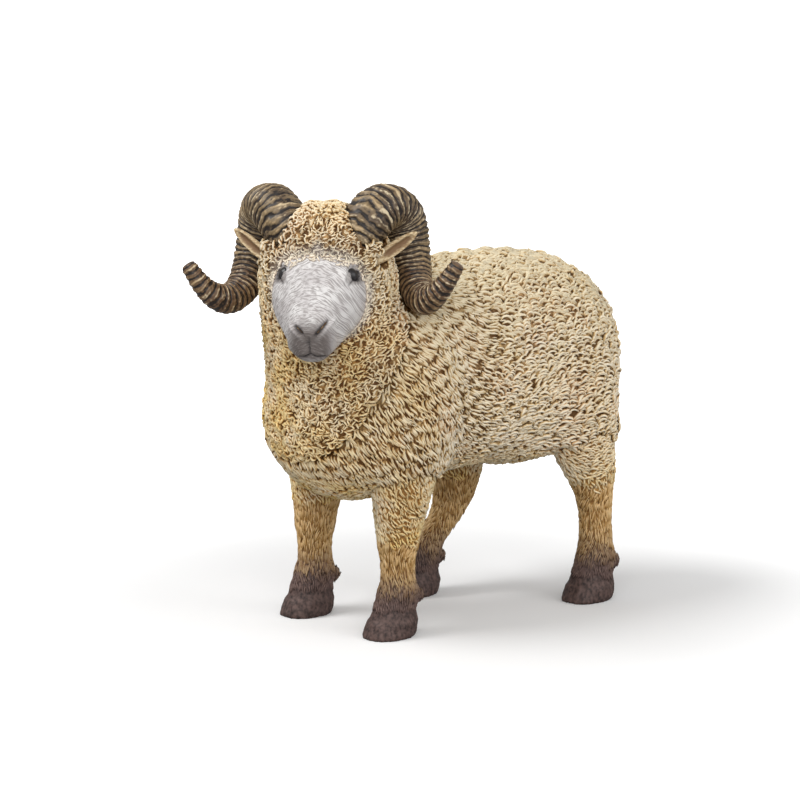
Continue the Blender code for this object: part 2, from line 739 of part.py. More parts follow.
def ear_rings(side, grow=0.0, until=1.0):
    along, across, through = ear_axes(side)
    rings = []
    for place, width, thickness in EAR_SHARES:
        if place > until:
            break
        reach = place * EAR_LENGTH - (grow if place == EAR_SHARES[0][0] else 0)
        rings.append(oval_ring(
            ear_root(side) + along * reach, across, through, width * EAR_WIDTH / 2 + grow,
            thickness * EAR_THICKNESS / 2 + grow, sides=EAR_SIDES))
    return rings


EAR_SEAT_SHARE = 0.55
EAR_HOLLOW_START_SHARE = 0.12
EAR_HOLLOW_END_SHARE = 0.86
EAR_HOLLOW_WIDTH_SHARE = 0.58


def make_ear(name, side, head, skull):
    ear = lofted(name, ear_rings(side), head)
    along, across, through = ear_axes(side)
    start = EAR_HOLLOW_START_SHARE * EAR_LENGTH
    end = EAR_HOLLOW_END_SHARE * EAR_LENGTH
    face = through if through.dot(FORWARD) > 0 else -through
    centre = ear_root(side) + along * ((start + end) / 2) + face * (EAR_THICKNESS / 2)
    turn = Matrix((across, along, through)).transposed()
    sizes = (EAR_HOLLOW_WIDTH_SHARE * EAR_WIDTH, end - start, 2 * EAR_HOLLOW_DEPTH)
    subtract(ear, slanted_ellipsoid(name + "_hollow", centre, sizes, turn, head))
    subtract(skull, lofted(name + "_seat", ear_rings(side, CLEARANCE, EAR_SEAT_SHARE), head, cutter=True))
    return ear


# The tail from its root inside the rump to its tip: place down it, how far back it lies between its root and
# the rump (1), its width and its thickness, as shares
TAIL_SHARES = (
    (-0.12, 0.13, 0.60, 0.70),
    (0.06, 0.65, 0.78, 0.80),
    (0.22, 1.05, 0.92, 0.95),
    (0.45, 1.21, 1.00, 1.00),
    (0.70, 1.23, 0.92, 0.88),
    (0.90, 1.21, 0.66, 0.62),
    (1.00, 1.17, 0.30, 0.30),
)


def tail_rings(grow=0.0):
    reach = TORSO_REAR - TAIL_ROOT_BACK
    centres = [
        Vector((0, TAIL_ROOT_BACK + back * reach, TAIL_HEIGHT - down * TAIL_LENGTH)) for down, back, _, _ in TAIL_SHARES]
    last = len(centres) - 1
    rings = []
    for index, (_, _, width, thickness) in enumerate(TAIL_SHARES):
        along = (centres[min(index + 1, last)] - centres[max(index - 1, 0)]).normalized()
        centre = centres[index]
        if index == 0:
            centre = centre - along * grow
        elif index == last:
            centre = centre + along * grow
        rings.append(oval_ring(centre, LEFT, LEFT.cross(along), width * TAIL_WIDTH / 2 + grow,
                               thickness * TAIL_THICKNESS / 2 + grow))
    return rings


def make_tail(torso):
    tail = lofted("tail", tail_rings())
    subtract(torso, lofted("tail_pocket", tail_rings(CLEARANCE), cutter=True))
    return tail


# A leg from its plug end down to the fetlock: share of the way down to the knee or hock (0 to 1) and on to
# the fetlock (1 to 2), then width and depth between the cannon's (0) and the thigh's (1)
FRONT_LEG_SHARES = (
    (0.00, 0.92, 0.90),
    (0.20, 0.98, 1.00),
    (0.45, 0.82, 0.82),
    (0.70, 0.55, 0.50),
    (0.90, 0.34, 0.30),
    (1.08, 0.24, 0.22),
    (1.30, 0.06, 0.04),
    (1.55, 0.00, 0.00),
    (1.80, 0.04, 0.06),
)
HIND_LEG_SHARES = (
    (0.00, 0.92, 1.00),
    (0.25, 1.00, 1.10),
    (0.50, 0.86, 0.95),
    (0.75, 0.50, 0.66),
    (0.95, 0.24, 0.40),
    (1.12, 0.12, 0.18),
    (1.35, 0.02, 0.02),
    (1.60, 0.00, 0.00),
    (1.82, 0.04, 0.06),
)


def leg_centre(leg, share):
    """A point on the leg's axis at this share of the way down, which bends softly at the knee or hock."""
    rows = (
        (0.0, leg["top"][0], leg["top"][1], LEG_TOP_HEIGHT),
        (1.0, *leg["bend"]),
        (2.0, leg["foot"][0], leg["foot"][1], FETLOCK_HEIGHT),
    )
    return Vector(interpolate(rows, share))


# The foot under the fetlock: height as a share of the fetlock's, how far forwards towards the sole's middle,
# and width and depth between the fetlock's (0) and the hoof's (1)
FOOT_SHARES = (
    (1.00, 0.00, 0.00, 0.00),
    (0.80, 0.16, 0.02, 0.04),
    (0.62, 0.42, 0.12, 0.20),
)
HOOF_SHARES = (
    (1.00, 0.50, 0.50, 0.50),
    (0.80, 0.62, 0.82, 0.80),
    (0.40, 0.82, 0.98, 0.97),
    (0.12, 1.02, 1.00, 0.96),
    (0.00, 1.10, 0.80, 0.80),
)
HOOF_ROUNDNESS = 2.35


def leg_rings(leg, table, grow=0.0, lowest=0.0):
    """Rings from the plug end down to the sole, or down to lowest for a pocket cutter."""
    rings = []
    for place, width, depth in table:
        centre = leg_centre(leg, place)
        if place == 0:
            centre += UP * grow
        if centre.z < lowest:
            return rings
        half_width = (CANNON_WIDTH + (THIGH_WIDTH - CANNON_WIDTH) * width) / 2 + grow
        half_depth = (CANNON_DEPTH + (THIGH_DEPTH - CANNON_DEPTH) * depth) / 2 + grow
        rings.append(oval_ring(centre, LEFT, FORWARD, half_width, half_depth))
    foot = Vector((*leg["foot"], 0))
    for table, height in ((FOOT_SHARES, FETLOCK_HEIGHT), (HOOF_SHARES, HOOF_HEIGHT)):
        for up, forwards, width, depth in table:
            centre = foot + FORWARD * (forwards * HOOF_FORWARD) + UP * (up * height)
            half_width = (FETLOCK_WIDTH + (HOOF_WIDTH - FETLOCK_WIDTH) * width) / 2
            half_depth = (FETLOCK_DEPTH + (HOOF_LENGTH - FETLOCK_DEPTH) * depth) / 2
            rings.append(oval_ring(centre, LEFT, FORWARD, half_width, half_depth, HOOF_ROUNDNESS))
    return rings


def cleft_wedge(name, leg):
    """The split between the two claws, cut as a wedge that is widest at the toe."""
    toe = Vector((*leg["foot"], 0)) + FORWARD * (HOOF_FORWARD + HOOF_LENGTH / 2)
    bm = bmesh.new()
    back = toe - FORWARD * CLEFT_DEPTH
    front = toe + FORWARD * OVERRUN
    top = UP * (HOOF_HEIGHT + CLEFT_DEPTH / 2)
    below = UP * -OVERRUN
    side = LEFT * (CLEFT_WIDTH / 2)
    corners = [bm.verts.new(point) for point in (
        back + below, front + side + below, front - side + below,
        back + top, front + side + top, front - side + top)]
    for face in ((0, 2, 1), (3, 4, 5), (0, 1, 4, 3), (1, 2, 5, 4), (2, 0, 3, 5)):
        bm.faces.new([corners[i] for i in face])
    return object_of(name, mesh_of(name, bm), cutter=True)


POCKET_LOWEST = 15.0 * MM  # where the leg has left the fleece
DEWCLAW_SPREAD_SHARE = 0.27
DEWCLAW_HEIGHT_SHARE = 0.86


def make_leg(name, leg, table, torso):
    piece = lofted(name, leg_rings(leg, table))
    for side in (1, -1):
        centre = Vector((*leg["foot"], 0)) - FORWARD * (FETLOCK_DEPTH / 2 - DEWCLAW_RADIUS / 2)
        centre += UP * (DEWCLAW_HEIGHT_SHARE * FETLOCK_HEIGHT)
        centre += LEFT * (side * DEWCLAW_SPREAD_SHARE * FETLOCK_WIDTH)
        bm = bmesh.new()
        add_ellipsoid(bm, centre, 2 * DEWCLAW_RADIUS, 2 * DEWCLAW_RADIUS, 3 * DEWCLAW_RADIUS, fineness=1)
        claw = object_of(f"{name}_dewclaw_{side}", mesh_of(f"{name}_dewclaw_{side}", bm), cutter=True)
        unite(piece, claw)
    subtract(piece, cleft_wedge(name + "_cleft", leg))
    pocket = leg_rings(leg, table, CLEARANCE, POCKET_LOWEST)
    subtract(torso, lofted(name + "_pocket", pocket, cutter=True))
    return piece


def make_torso(sculpt):
    torso = object_of("torso", sculpt.data.copy())
    subtract(torso, parting_block("torso_side", -CLEARANCE / 2))
    subtract(torso, neck_plug("neck_socket", CLEARANCE, OVERRUN))
    return torso


def centre_on_footprint(pieces, figure):
    """Moves the figure so that the middle of its footprint is the origin and it stands on z = 0."""
    bpy.context.view_layer.update()
    graph = bpy.context.evaluated_depsgraph_get()
    points = []
    for piece in pieces:
        evaluated = piece.evaluated_get(graph)
        points += [evaluated.matrix_world @ vertex.co for vertex in evaluated.data.vertices]
    low = Vector([min(point[axis] for point in points) for axis in range(3)])
    high = Vector([max(point[axis] for point in points) for axis in range(3)])
    figure.location = (-(low.x + high.x) / 2, -(low.y + high.y) / 2, -low.z)


def build():
    clear_scene()
    figure = object_of("figure", None)
    head = object_of("head", None)
    head.location = skull_centre()
    head.rotation_euler.z = HEAD_TURN

    sculpt = fleece_sculpt()
    torso = make_torso(sculpt)
    skull = make_neck_and_head(sculpt, head)
    pieces = {"torso": (torso, "fleece"), "neck_and_head": (skull, "fleece")}
    for name, leg in FRONT_LEGS.items():
        pieces[name] = (make_leg(name, leg, FRONT_LEG_SHARES, torso), "leg")
    for name, leg in HIND_LEGS.items():
        pieces[name] = (make_leg(name, leg, HIND_LEG_SHARES, torso), "leg")
    for name, side in (("left", 1), ("right", -1)):
        pieces["horn_" + name] = (make_horn("horn_" + name, side, head, skull, torso), "horn")
        pieces["ear_" + name] = (make_ear("ear_" + name, side, head, skull), "ear")
    pieces["tail"] = (make_tail(torso), "fleece")
    for cut in skull.modifiers:
        cut.use_self = True  # the seats, pockets and tufts come close to each other here

    paints = {name: material(name) for name in PAINT}
    for piece, paint in pieces.values():
        settle(piece)
        piece.data.materials.clear()
        piece.data.materials.append(paints[paint])
        piece.data.set_sharp_from_angle(angle=TUFTS_SHARP_FROM if paint == "fleece" else SHARP_FROM)
    for obj in list(bpy.data.objects):
        if obj.hide_render:
            bpy.data.objects.remove(obj)
    for obj in bpy.data.objects:
        if obj.parent is None and obj != figure:
            obj.parent = figure
    centre_on_footprint([piece for piece, _ in pieces.values()], figure)


build()
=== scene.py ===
import math

import bmesh
import bpy
import numpy as np
from mathutils import Euler, Matrix, Vector, noise
from mathutils.bvhtree import BVHTree


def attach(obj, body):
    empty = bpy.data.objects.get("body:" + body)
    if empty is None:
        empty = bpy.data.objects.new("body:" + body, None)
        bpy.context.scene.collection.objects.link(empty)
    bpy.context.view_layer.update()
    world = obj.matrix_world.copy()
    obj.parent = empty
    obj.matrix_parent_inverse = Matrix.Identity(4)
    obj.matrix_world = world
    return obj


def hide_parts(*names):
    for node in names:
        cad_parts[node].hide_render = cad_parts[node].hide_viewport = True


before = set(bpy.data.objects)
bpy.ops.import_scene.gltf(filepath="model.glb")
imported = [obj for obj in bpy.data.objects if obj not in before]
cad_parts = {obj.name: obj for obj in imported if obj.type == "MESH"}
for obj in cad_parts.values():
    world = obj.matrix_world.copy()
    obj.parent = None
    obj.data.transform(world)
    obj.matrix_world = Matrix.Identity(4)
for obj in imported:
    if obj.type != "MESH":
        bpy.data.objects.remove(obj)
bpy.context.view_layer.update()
mm = 0.001
up = Vector((0, 0, 1))
down = -up
backwards = Vector((0, 1, 0))
figureAt = Vector((-2.47, 5.98, 0)) * mm  # the animal's own origin in the shared frame

# Where the head is and how far it turns to the animal's left. Its own frame looks along -Y.
head = {"centre": Vector((5.2, -31.8, 67.6)) * mm + figureAt, "turn": math.radians(42)}
headToWorld = Matrix.Translation(head["centre"]) @ Matrix.Rotation(head["turn"], 4, "Z")
worldToHead = headToWorld.inverted()


def addObject(name, data):
    obj = bpy.data.objects.new(name, data)
    bpy.context.scene.collection.objects.link(obj)
    return obj


# A painted colour, given as it looks on a screen, as shader values
def linear(hexColour):
    parts = [int(hexColour[i:i + 2], 16) / 255 for i in (1, 3, 5)]
    return tuple(p / 12.92 if p <= 0.04045 else ((p + 0.055) / 1.055) ** 2.4 for p in parts) + (1,)


# Adds a node with its settings and its inputs, which are linked or set, and gives one of its outputs
def addNode(tree, kind, inputs=None, output=0, **settings):
    made = tree.nodes.new(kind)
    for key, value in settings.items():
        setattr(made, key, value)
    for key, value in (inputs or {}).items():
        if isinstance(value, bpy.types.NodeSocket):
            tree.links.new(value, made.inputs[key])
        else:
            made.inputs[key].default_value = linear(value) if str(value).startswith("#") else value
    return made.outputs[output]


# 0 below the edge and 1 above it, with a soft step of this width
def smooth(edge, width, value):
    t = min(max((value - edge) / width + 0.5, 0), 1)
    return t * t * (3 - 2 * t)


def bell(value, middle, width):
    return math.exp(-((value - middle) / width) ** 2)


# Smooth noise from -1 to 1 over distances of this scale
def wander(point, scale, offset=0.0):
    return noise.noise(point / scale + Vector((offset, offset * 1.7, -offset)))


def meshOf(bm, name):
    mesh = bpy.data.meshes.new(name)
    bm.to_mesh(mesh)
    bm.free()
    mesh.shade_smooth()
    return mesh


def treeOf(obj):
    bm = bmesh.new()
    bm.from_mesh(obj.data)
    tree = BVHTree.FromBMesh(bm)
    bm.free()
    return tree


def arrayOf(mesh):
    values = np.empty(len(mesh.vertices) * 3)
    mesh.vertices.foreach_get("co", values)
    return values.reshape(-1, 3)


def putArray(mesh, points):
    mesh.vertices.foreach_set("co", points.astype(np.float32).ravel())
    mesh.update()


def storeValues(mesh, name, values):
    attribute = mesh.attributes.new(name, "FLOAT", "POINT")
    attribute.data.foreach_set("value", np.asarray(values, dtype=np.float32))


# The object as its modifiers leave it, with none of them live
def applyModifiers(obj):
    graph = bpy.context.evaluated_depsgraph_get()
    obj.data = bpy.data.meshes.new_from_object(obj.evaluated_get(graph))
    obj.modifiers.clear()
    obj.data.shade_smooth()


# A node's solid as an even skin of small faces
def copyOf(nodeName, voxel):
    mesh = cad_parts[nodeName].data.copy()
    bm = bmesh.new()
    bm.from_mesh(mesh)
    bmesh.ops.remove_doubles(bm, verts=bm.verts, dist=0.001 * mm)
    bm.to_mesh(mesh)
    bm.free()
    obj = addObject(nodeName + "Skin", mesh)
    remesh = obj.modifiers.new("even", "REMESH")
    remesh.mode = "VOXEL"
    remesh.voxel_size = voxel
    applyModifiers(obj)
    obj.data.materials.clear()
    return obj


# A closed skin over rings of equal length
def sweep(name, rings):
    bm = bmesh.new()
    loops = [[bm.verts.new(point) for point in ring] for ring in rings]
    count = len(loops[0])
    for lower, upper in zip(loops, loops[1:]):
        for index in range(count):
            following = (index + 1) % count
            bm.faces.new((lower[index], lower[following], upper[following], upper[index]))
    bm.faces.new(reversed(loops[0]))
    bm.faces.new(loops[-1])
    bmesh.ops.recalc_face_normals(bm, faces=bm.faces)
    return meshOf(bm, name)


# Rings that close the end of a form: each is a share of its last ring, this many millimetres ahead of it
def closingRings(edge, ahead, steps):
    middle = sum(edge, Vector()) / len(edge)
    return [[middle + (point - middle) * share + ahead * reach * mm for point in edge]
            for share, reach in steps]


# A smooth value between table rows, whose first number is the place along the table
def interpolate(rows, share):
    last = len(rows) - 1
    index = max(i for i in range(last) if rows[i][0] <= share or i == 0)
    start, end = rows[index], rows[index + 1]
    before, after = rows[max(index - 1, 0)], rows[min(index + 2, last)]
    span = end[0] - start[0]
    t = (share - start[0]) / span
    values = []
    for column in range(1, len(start)):
        slopeIn = (end[column] - before[column]) / (end[0] - before[0])
        slopeOut = (after[column] - start[column]) / (after[0] - start[0])
        near = (2 * t ** 3 - 3 * t ** 2 + 1) * start[column] + (t ** 3 - 2 * t ** 2 + t) * span * slopeIn
        values.append(near + (3 * t ** 2 - 2 * t ** 3) * end[column] + (t ** 3 - t ** 2) * span * slopeOut)
    return values


# Noise from 0 to 1 with features about this many millimetres across
def grain(tree, across, detail=3.0, stretch=(1, 1, 1)):
    place = addNode(tree, "ShaderNodeTexCoord", output="Object")
    scale = [s / (across * mm) for s in stretch]
    sized = addNode(tree, "ShaderNodeMapping", {"Vector": place, "Scale": scale})
    return addNode(tree, "ShaderNodeTexNoise", {"Vector": sized, "Scale": 1.0, "Detail": detail})


# A coat of paint over what lies under it: as thick as where says, or rising softly over a span of it
def coat(tree, under, over, where, span=None, thickness=1.0):
    low, high = span or (0, 1)
    share = addNode(tree, "ShaderNodeMapRange", {
        "Value": where, "From Min": low, "From Max": high, "To Max": thickness},
        interpolation_type="SMOOTHSTEP" if span else "LINEAR")
    return addNode(tree, "ShaderNodeMix", {0: share, 6: under, 7: over}, 2, data_type="RGBA")


# A new material and the values stored in the mesh that it goes by. An IOR of 1.5 suits acrylic paint.
def startPaint(name, roughness, specular, *stored):
    paint = bpy.data.materials.new(name)
    paint.use_nodes = True
    tree = paint.node_tree
    shader = tree.nodes["Principled BSDF"]
    shader.inputs["Roughness"].default_value = roughness
    shader.inputs["IOR"].default_value = 1.5
    shader.inputs["Specular IOR Level"].default_value = specular
    values = [addNode(tree, "ShaderNodeAttribute", output="Fac", attribute_name=key) for key in stored]
    return paint, tree, shader, values


# Gives the shader its colour, and relief this many millimetres deep
def endPaint(tree, shader, colour, height, depth):
    tree.links.new(colour, shader.inputs["Base Color"])
    relief = addNode(tree, "ShaderNodeBump", {"Height": height, "Distance": depth * mm, "Strength": 1.0})
    tree.links.new(relief, shader.inputs["Normal"])


view = {"azimuth": math.radians(50), "elevation": math.radians(10.5), "distance": 650 * mm,
        "target": Vector((3.5, -12.5, 41.7)) * mm + figureAt, "pixelsPerMm": 5.45, "picture": 800,
        "sensor": 36}


# The way from the object to a place this far round and up
def lookFrom(azimuth, elevation):
    return Vector((math.sin(azimuth) * math.cos(elevation), -math.cos(azimuth) * math.cos(elevation),
                   math.sin(elevation)))


# Puts a camera or lamp this far off, facing the object
def aimAtObject(obj, away, distance):
    obj.location = view["target"] + away * distance
    obj.rotation_mode = "QUATERNION"
    obj.rotation_quaternion = (-away).to_track_quat("-Z", "Y")


def makeCamera():
    camera = addObject("camera", bpy.data.cameras.new("camera"))
    aimAtObject(camera, lookFrom(view["azimuth"], view["elevation"]), view["distance"])
    camera.data.sensor_width = view["sensor"]
    camera.data.lens = view["sensor"] * view["pixelsPerMm"] * view["distance"] / mm / view["picture"]
    camera.data.clip_start = 0.01
    camera.data.clip_end = 50
    bpy.context.scene.camera = camera


# Each lamp's place is degrees round and up, its distance and size metres, its power watts
lights = (
    {"name": "keyLight", "from": (-28, 54), "distance": 0.9, "size": 0.5, "power": 4.7},
    {"name": "frontLight", "from": (52, 24), "distance": 1.1, "size": 0.9, "power": 4.8},
    {"name": "sideLight", "from": (110, 24), "distance": 1.1, "size": 0.9, "power": 3.6},
)
surround = {"light": 0.5, "seen": 1.0}  # how strongly the white surround lights the object, and how it shows


def makeLights():
    for lamp in lights:
        data = bpy.data.lights.new(lamp["name"], "AREA")
        data.shape = "DISK"
        data.size = lamp["size"]
        data.energy = lamp["power"]
        away = lookFrom(*[math.radians(angle) for angle in lamp["from"]])
        aimAtObject(addObject(lamp["name"], data), away, lamp["distance"])
    world = bpy.data.worlds.new("softStudio")
    bpy.context.scene.world = world
    world.use_nodes = True
    tree = world.node_tree
    background = tree.nodes["Background"]
    background.inputs["Color"].default_value = (1, 1, 1, 1)
    seen = addNode(tree, "ShaderNodeLightPath", output="Is Camera Ray")
    strength = addNode(tree, "ShaderNodeMapRange", {
        "Value": seen, "To Min": surround["light"], "To Max": surround["seen"]})
    tree.links.new(strength, background.inputs["Strength"])
    bpy.context.scene.view_settings.view_transform = "Standard"


# The paper shows white, brighter away from the object, and sends less light back than it shows
floor = {"size": 12.0, "seen": "#F0F0F0", "bounce": "#9A9A9A", "glow": 0.05, "farGlow": 1.0,
         "from": 48 * mm, "to": 190 * mm}


def makeFloor():
    bm = bmesh.new()
    bmesh.ops.create_grid(bm, x_segments=1, y_segments=1, size=floor["size"] / 2)
    mesh = meshOf(bm, "floor")
    paint, tree, shader, _ = startPaint("uncoatedStudioPaper", 0.9, 0.2)  # matt, with a soft shadow on it
    shader.inputs["Emission Color"].default_value = (1, 1, 1, 1)
    seen = addNode(tree, "ShaderNodeLightPath", output="Is Camera Ray")
    tree.links.new(coat(tree, floor["bounce"], floor["seen"], seen), shader.inputs["Base Color"])
    place = addNode(tree, "ShaderNodeTexCoord", output="Object")
    away = addNode(tree, "ShaderNodeVectorMath", {0: place}, "Value", operation="LENGTH")
    glow = addNode(tree, "ShaderNodeMapRange", {
        "Value": away, "From Min": floor["from"], "From Max": floor["to"], "To Min": floor["glow"],
        "To Max": floor["farGlow"]}, interpolation_type="SMOOTHSTEP")
    shown = addNode(tree, "ShaderNodeMath", {0: seen, 1: glow}, operation="MULTIPLY")
    tree.links.new(shown, shader.inputs["Emission Strength"])
    mesh.materials.append(paint)
    addObject("floor", mesh)


# Locks of wool and hair are small closed forms that are set on the surface. This is a lock's cross-section
# from one foot to the other, side and level, for one strand and for two side by side.
strandProfiles = {
    "single": ((-1.0, -0.4), (-0.5, 0.9), (0.5, 0.9), (1.0, -0.4)),
    "double": ((-1.0, -0.4), (-0.66, 0.86), (-0.1, 0.6), (0.48, 1.0), (1.0, -0.4)),
}


# A lock along path, points of (along, up the surface, lift), with its rise stored for the paint
def lockMesh(name, path, halfWidth, profile, spans):
    sides = strandProfiles[profile]
    bm = bmesh.new()
    rise = bm.verts.layers.float.new("rise")
    uv = bm.loops.layers.uv.new("UVMap")
    loops = []
    for index in range(spans + 1):
        share = index / spans
        x, y, lift = path(share)
        ahead, behind = path(min(share + 0.02, 1)), path(max(share - 0.02, 0))
        along = Vector((ahead[0] - behind[0], ahead[1] - behind[1], 0)).normalized()
        across = Vector((-along.y, along.x, 0))
        taper = max((1 - abs(2 * share - 1) ** 2.4) ** 0.5, 0.12) if 0 < share < 1 else 0.12
        ring = []
        for side, level in sides:
            height = level * (0.35 + 0.65 * taper) + lift * (level > 0)
            vertex = bm.verts.new(Vector((x, y, height)) + across * (side * halfWidth * taper))
            vertex[rise] = max(height, 0)
            ring.append(vertex)
        loops.append(ring)
    count = len(sides)
    for span, (lower, upper) in enumerate(zip(loops, loops[1:])):
        for index in range(count):
            following = (index + 1) % count
            quad = bm.faces.new((lower[index], lower[following], upper[following], upper[index]))
            for loop, (u, v) in zip(quad.loops, ((0, 0), (0, 1), (1, 1), (1, 0))):
                loop[uv].uv = ((span + u) / spans, (index + v) / count)
    bm.faces.new(reversed(loops[0]))
    bm.faces.new(loops[-1])
    bmesh.ops.recalc_face_normals(bm, faces=bm.faces)
    return meshOf(bm, name)


# An arch whose two ends point down the surface
def crescent(bulge, lean):
    def path(share):
        angle = math.pi * (share - 0.5) * 1.02
        return (math.sin(angle) * 0.46 + lean * math.cos(angle) * 0.16, (math.cos(angle) - 0.5) * bulge,
                -0.35 * abs(2 * share - 1) ** 2)
    return path


# A strand that winds from side to side
def worm(bend, turns, lean):
    def path(share):
        along = share - 0.5 + 0.08 * lean * math.sin(share * 6)
        return along, bend * math.sin((share - 0.5) * math.pi * turns + lean), -0.4 * abs(2 * share - 1) ** 2
    return path


# Most of a ring, which tightens towards one end
def curl(openness, tightening):
    def path(share):
        angle = share * math.radians(openness)
        radius = 0.42 * (1 - tightening * share)
        return math.cos(angle) * radius, math.sin(angle) * radius, 0.15 * share - 0.1
    return path


# Each kind of lock is a few variants a millimetre long, which a seed's size stretches
lockKinds = {
    "crescent": [(crescent(0.40, 0.0), 0.115, "single"), (crescent(0.48, 0.5), 0.12, "double"),
                 (crescent(0.34, -0.5), 0.11, "single"), (crescent(0.54, -0.2), 0.125, "double"),
                 (crescent(0.28, 0.3), 0.11, "single"), (worm(0.16, 1.5, 0.4), 0.11, "single")],
    "worm": [(worm(0.08, 1.6, 0.3), 0.105, "single"), (worm(0.12, 1.9, -0.4), 0.10, "single"),
             (worm(0.15, 1.2, 0.8), 0.115, "double"), (worm(0.10, 2.4, 0.2), 0.10, "single"),
             (worm(0.17, 1.4, -0.9), 0.11, "double")],
    "curl": [(curl(230, 0.35), 0.135, "single"), (curl(200, 0.2), 0.15, "double"),
             (curl(260, 0.45), 0.13, "single"), (curl(170, 0.1), 0.15, "double"),
             (worm(0.30, 1.1, 0.5), 0.14, "single")],
    "stroke": [(worm(0.03, 0.8, 0.2), 0.055, "single"), (worm(0.05, 1.2, -0.3), 0.065, "double"),
               (worm(0.07, 1.0, 0.6), 0.058, "single"), (worm(0.04, 1.6, 0.0), 0.065, "double")],
}
lockSpans = {"crescent": 6, "worm": 6, "curl": 7, "stroke": 4}
lockLibrary = bpy.data.collections.new("lockLibrary")
lockPlace = {}


def makeLockLibrary():
    for kind, variants in lockKinds.items():
        lockPlace[kind] = []
        for path, halfWidth, profile in variants:
            position = sum(len(places) for places in lockPlace.values())
            mesh = lockMesh(f"lock{position:02d}", path, halfWidth, profile, lockSpans[kind])
            lockLibrary.objects.link(bpy.data.objects.new(f"lock{position:02d}", mesh))
            lockPlace[kind].append(position)


# Seeds in cells, to find the ones near a point
class Grid:
    def __init__(self, seeds=(), cell=2.6 * mm):
        self.cell = cell
        self.cells = {}
        for seed in seeds:
            self.add(seed)

    def key(self, point):
        return tuple(int(math.floor(value / self.cell)) for value in point)

    def near(self, point):
        x, y, z = self.key(point)
        yield from self.cells.get((x, y, z), ())
        for i in (x - 1, x, x + 1):
            for j in (y - 1, y, y + 1):
                for k in (z - 1, z, z + 1):
                    if (i, j, k) != (x, y, z):
                        yield from self.cells.get((i, j, k), ())

    def add(self, seed):
        self.cells.setdefault(self.key(seed["at"]), []).append(seed)


# Points spread over the skin by area, each with its face's normal
def surfacePoints(obj, count, rng):
    mesh = obj.data
    mesh.calc_loop_triangles()
    corners = np.empty(len(mesh.loop_triangles) * 3, dtype=np.int32)
    mesh.loop_triangles.foreach_get("vertices", corners)
    points = arrayOf(mesh)[corners.reshape(-1, 3)]
    crosses = np.cross(points[:, 1] - points[:, 0], points[:, 2] - points[:, 0])
    areas = np.linalg.norm(crosses, axis=1)
    picks = rng.choice(len(areas), count, p=areas / areas.sum())
    u, v = rng.random((2, count))
    flip = u + v > 1
    u[flip], v[flip] = 1 - u[flip], 1 - v[flip]
    first, second, third = points[picks].transpose(1, 0, 2)
    places = first + u[:, None] * (second - first) + v[:, None] * (third - first)
    normals = crosses[picks] / areas[picks][:, None]
    return places, normals


# Whether a lock of this size has room here, measured against each neighbour along both its ways
def isFree(grid, at, axes, rule, packing):
    x, y, z = axes
    for other in grid.near(at):
        gap = other["at"] - at
        if abs(gap.dot(z)) > rule["pitch"] * 1.5:
            continue
        a = gap.dot(x) / (0.5 * (rule["length"] + other["length"]) * packing)
        b = gap.dot(y) / (0.5 * (rule["pitch"] + other["pitch"]) * packing)
        if a * a + b * b < 1:
            return False
    return True


def lockAxes(normal, upTheStack):
    z = normal
    y = (upTheStack - z * upTheStack.dot(z)).normalized()
    return y.cross(z), y, z


packings = ((0.86, 1.0), (0.70, 0.85), (0.56, 0.60))  # round by round, how near seeds may stand and their size


# Seeds for locks all over a skin. Each one that fits starts a stack, which grows up and down from it.
def scatterLocks(obj, ruleOf, candidates, seed):
    rng = np.random.default_rng(seed)
    tree = treeOf(obj)
    grid = Grid()
    seeds = []

    def place(at, normal, packing, shrink):
        rule = ruleOf(at, normal)
        if rule is None:
            return None
        shrink *= rng.uniform(0.84, 1.16)
        rule = dict(rule, **{key: rule[key] * shrink for key in ("length", "pitch", "width")})
        axes = lockAxes(normal, rule["stackUp"])
        if not isFree(grid, at, axes, rule, packing):
            return None
        rule.update(at=at, axes=axes)
        grid.add(rule)
        seeds.append(rule)
        return rule

    for number, (packing, shrink) in enumerate(packings):
        places, normals = surfacePoints(obj, candidates, rng)
        for at, normal in zip(places, normals):
            start = place(Vector(at), Vector(normal), packing, shrink)
            if start is None or number:
                continue
            for way in (1, -1):
                current = start
                for _ in range(start["stack"]):
                    x, y, _z = current["axes"]
                    step = y * (way * current["pitch"] * rng.uniform(0.96, 1.1)) + x * (
                        current["length"] * rng.normal(0, 0.05))
                    found, foundNormal, _index, _distance = tree.find_nearest(current["at"] + step)
                    current = place(found, foundNormal, packing * 0.93, 1.0)
                    if current is None:
                        break
    return seeds


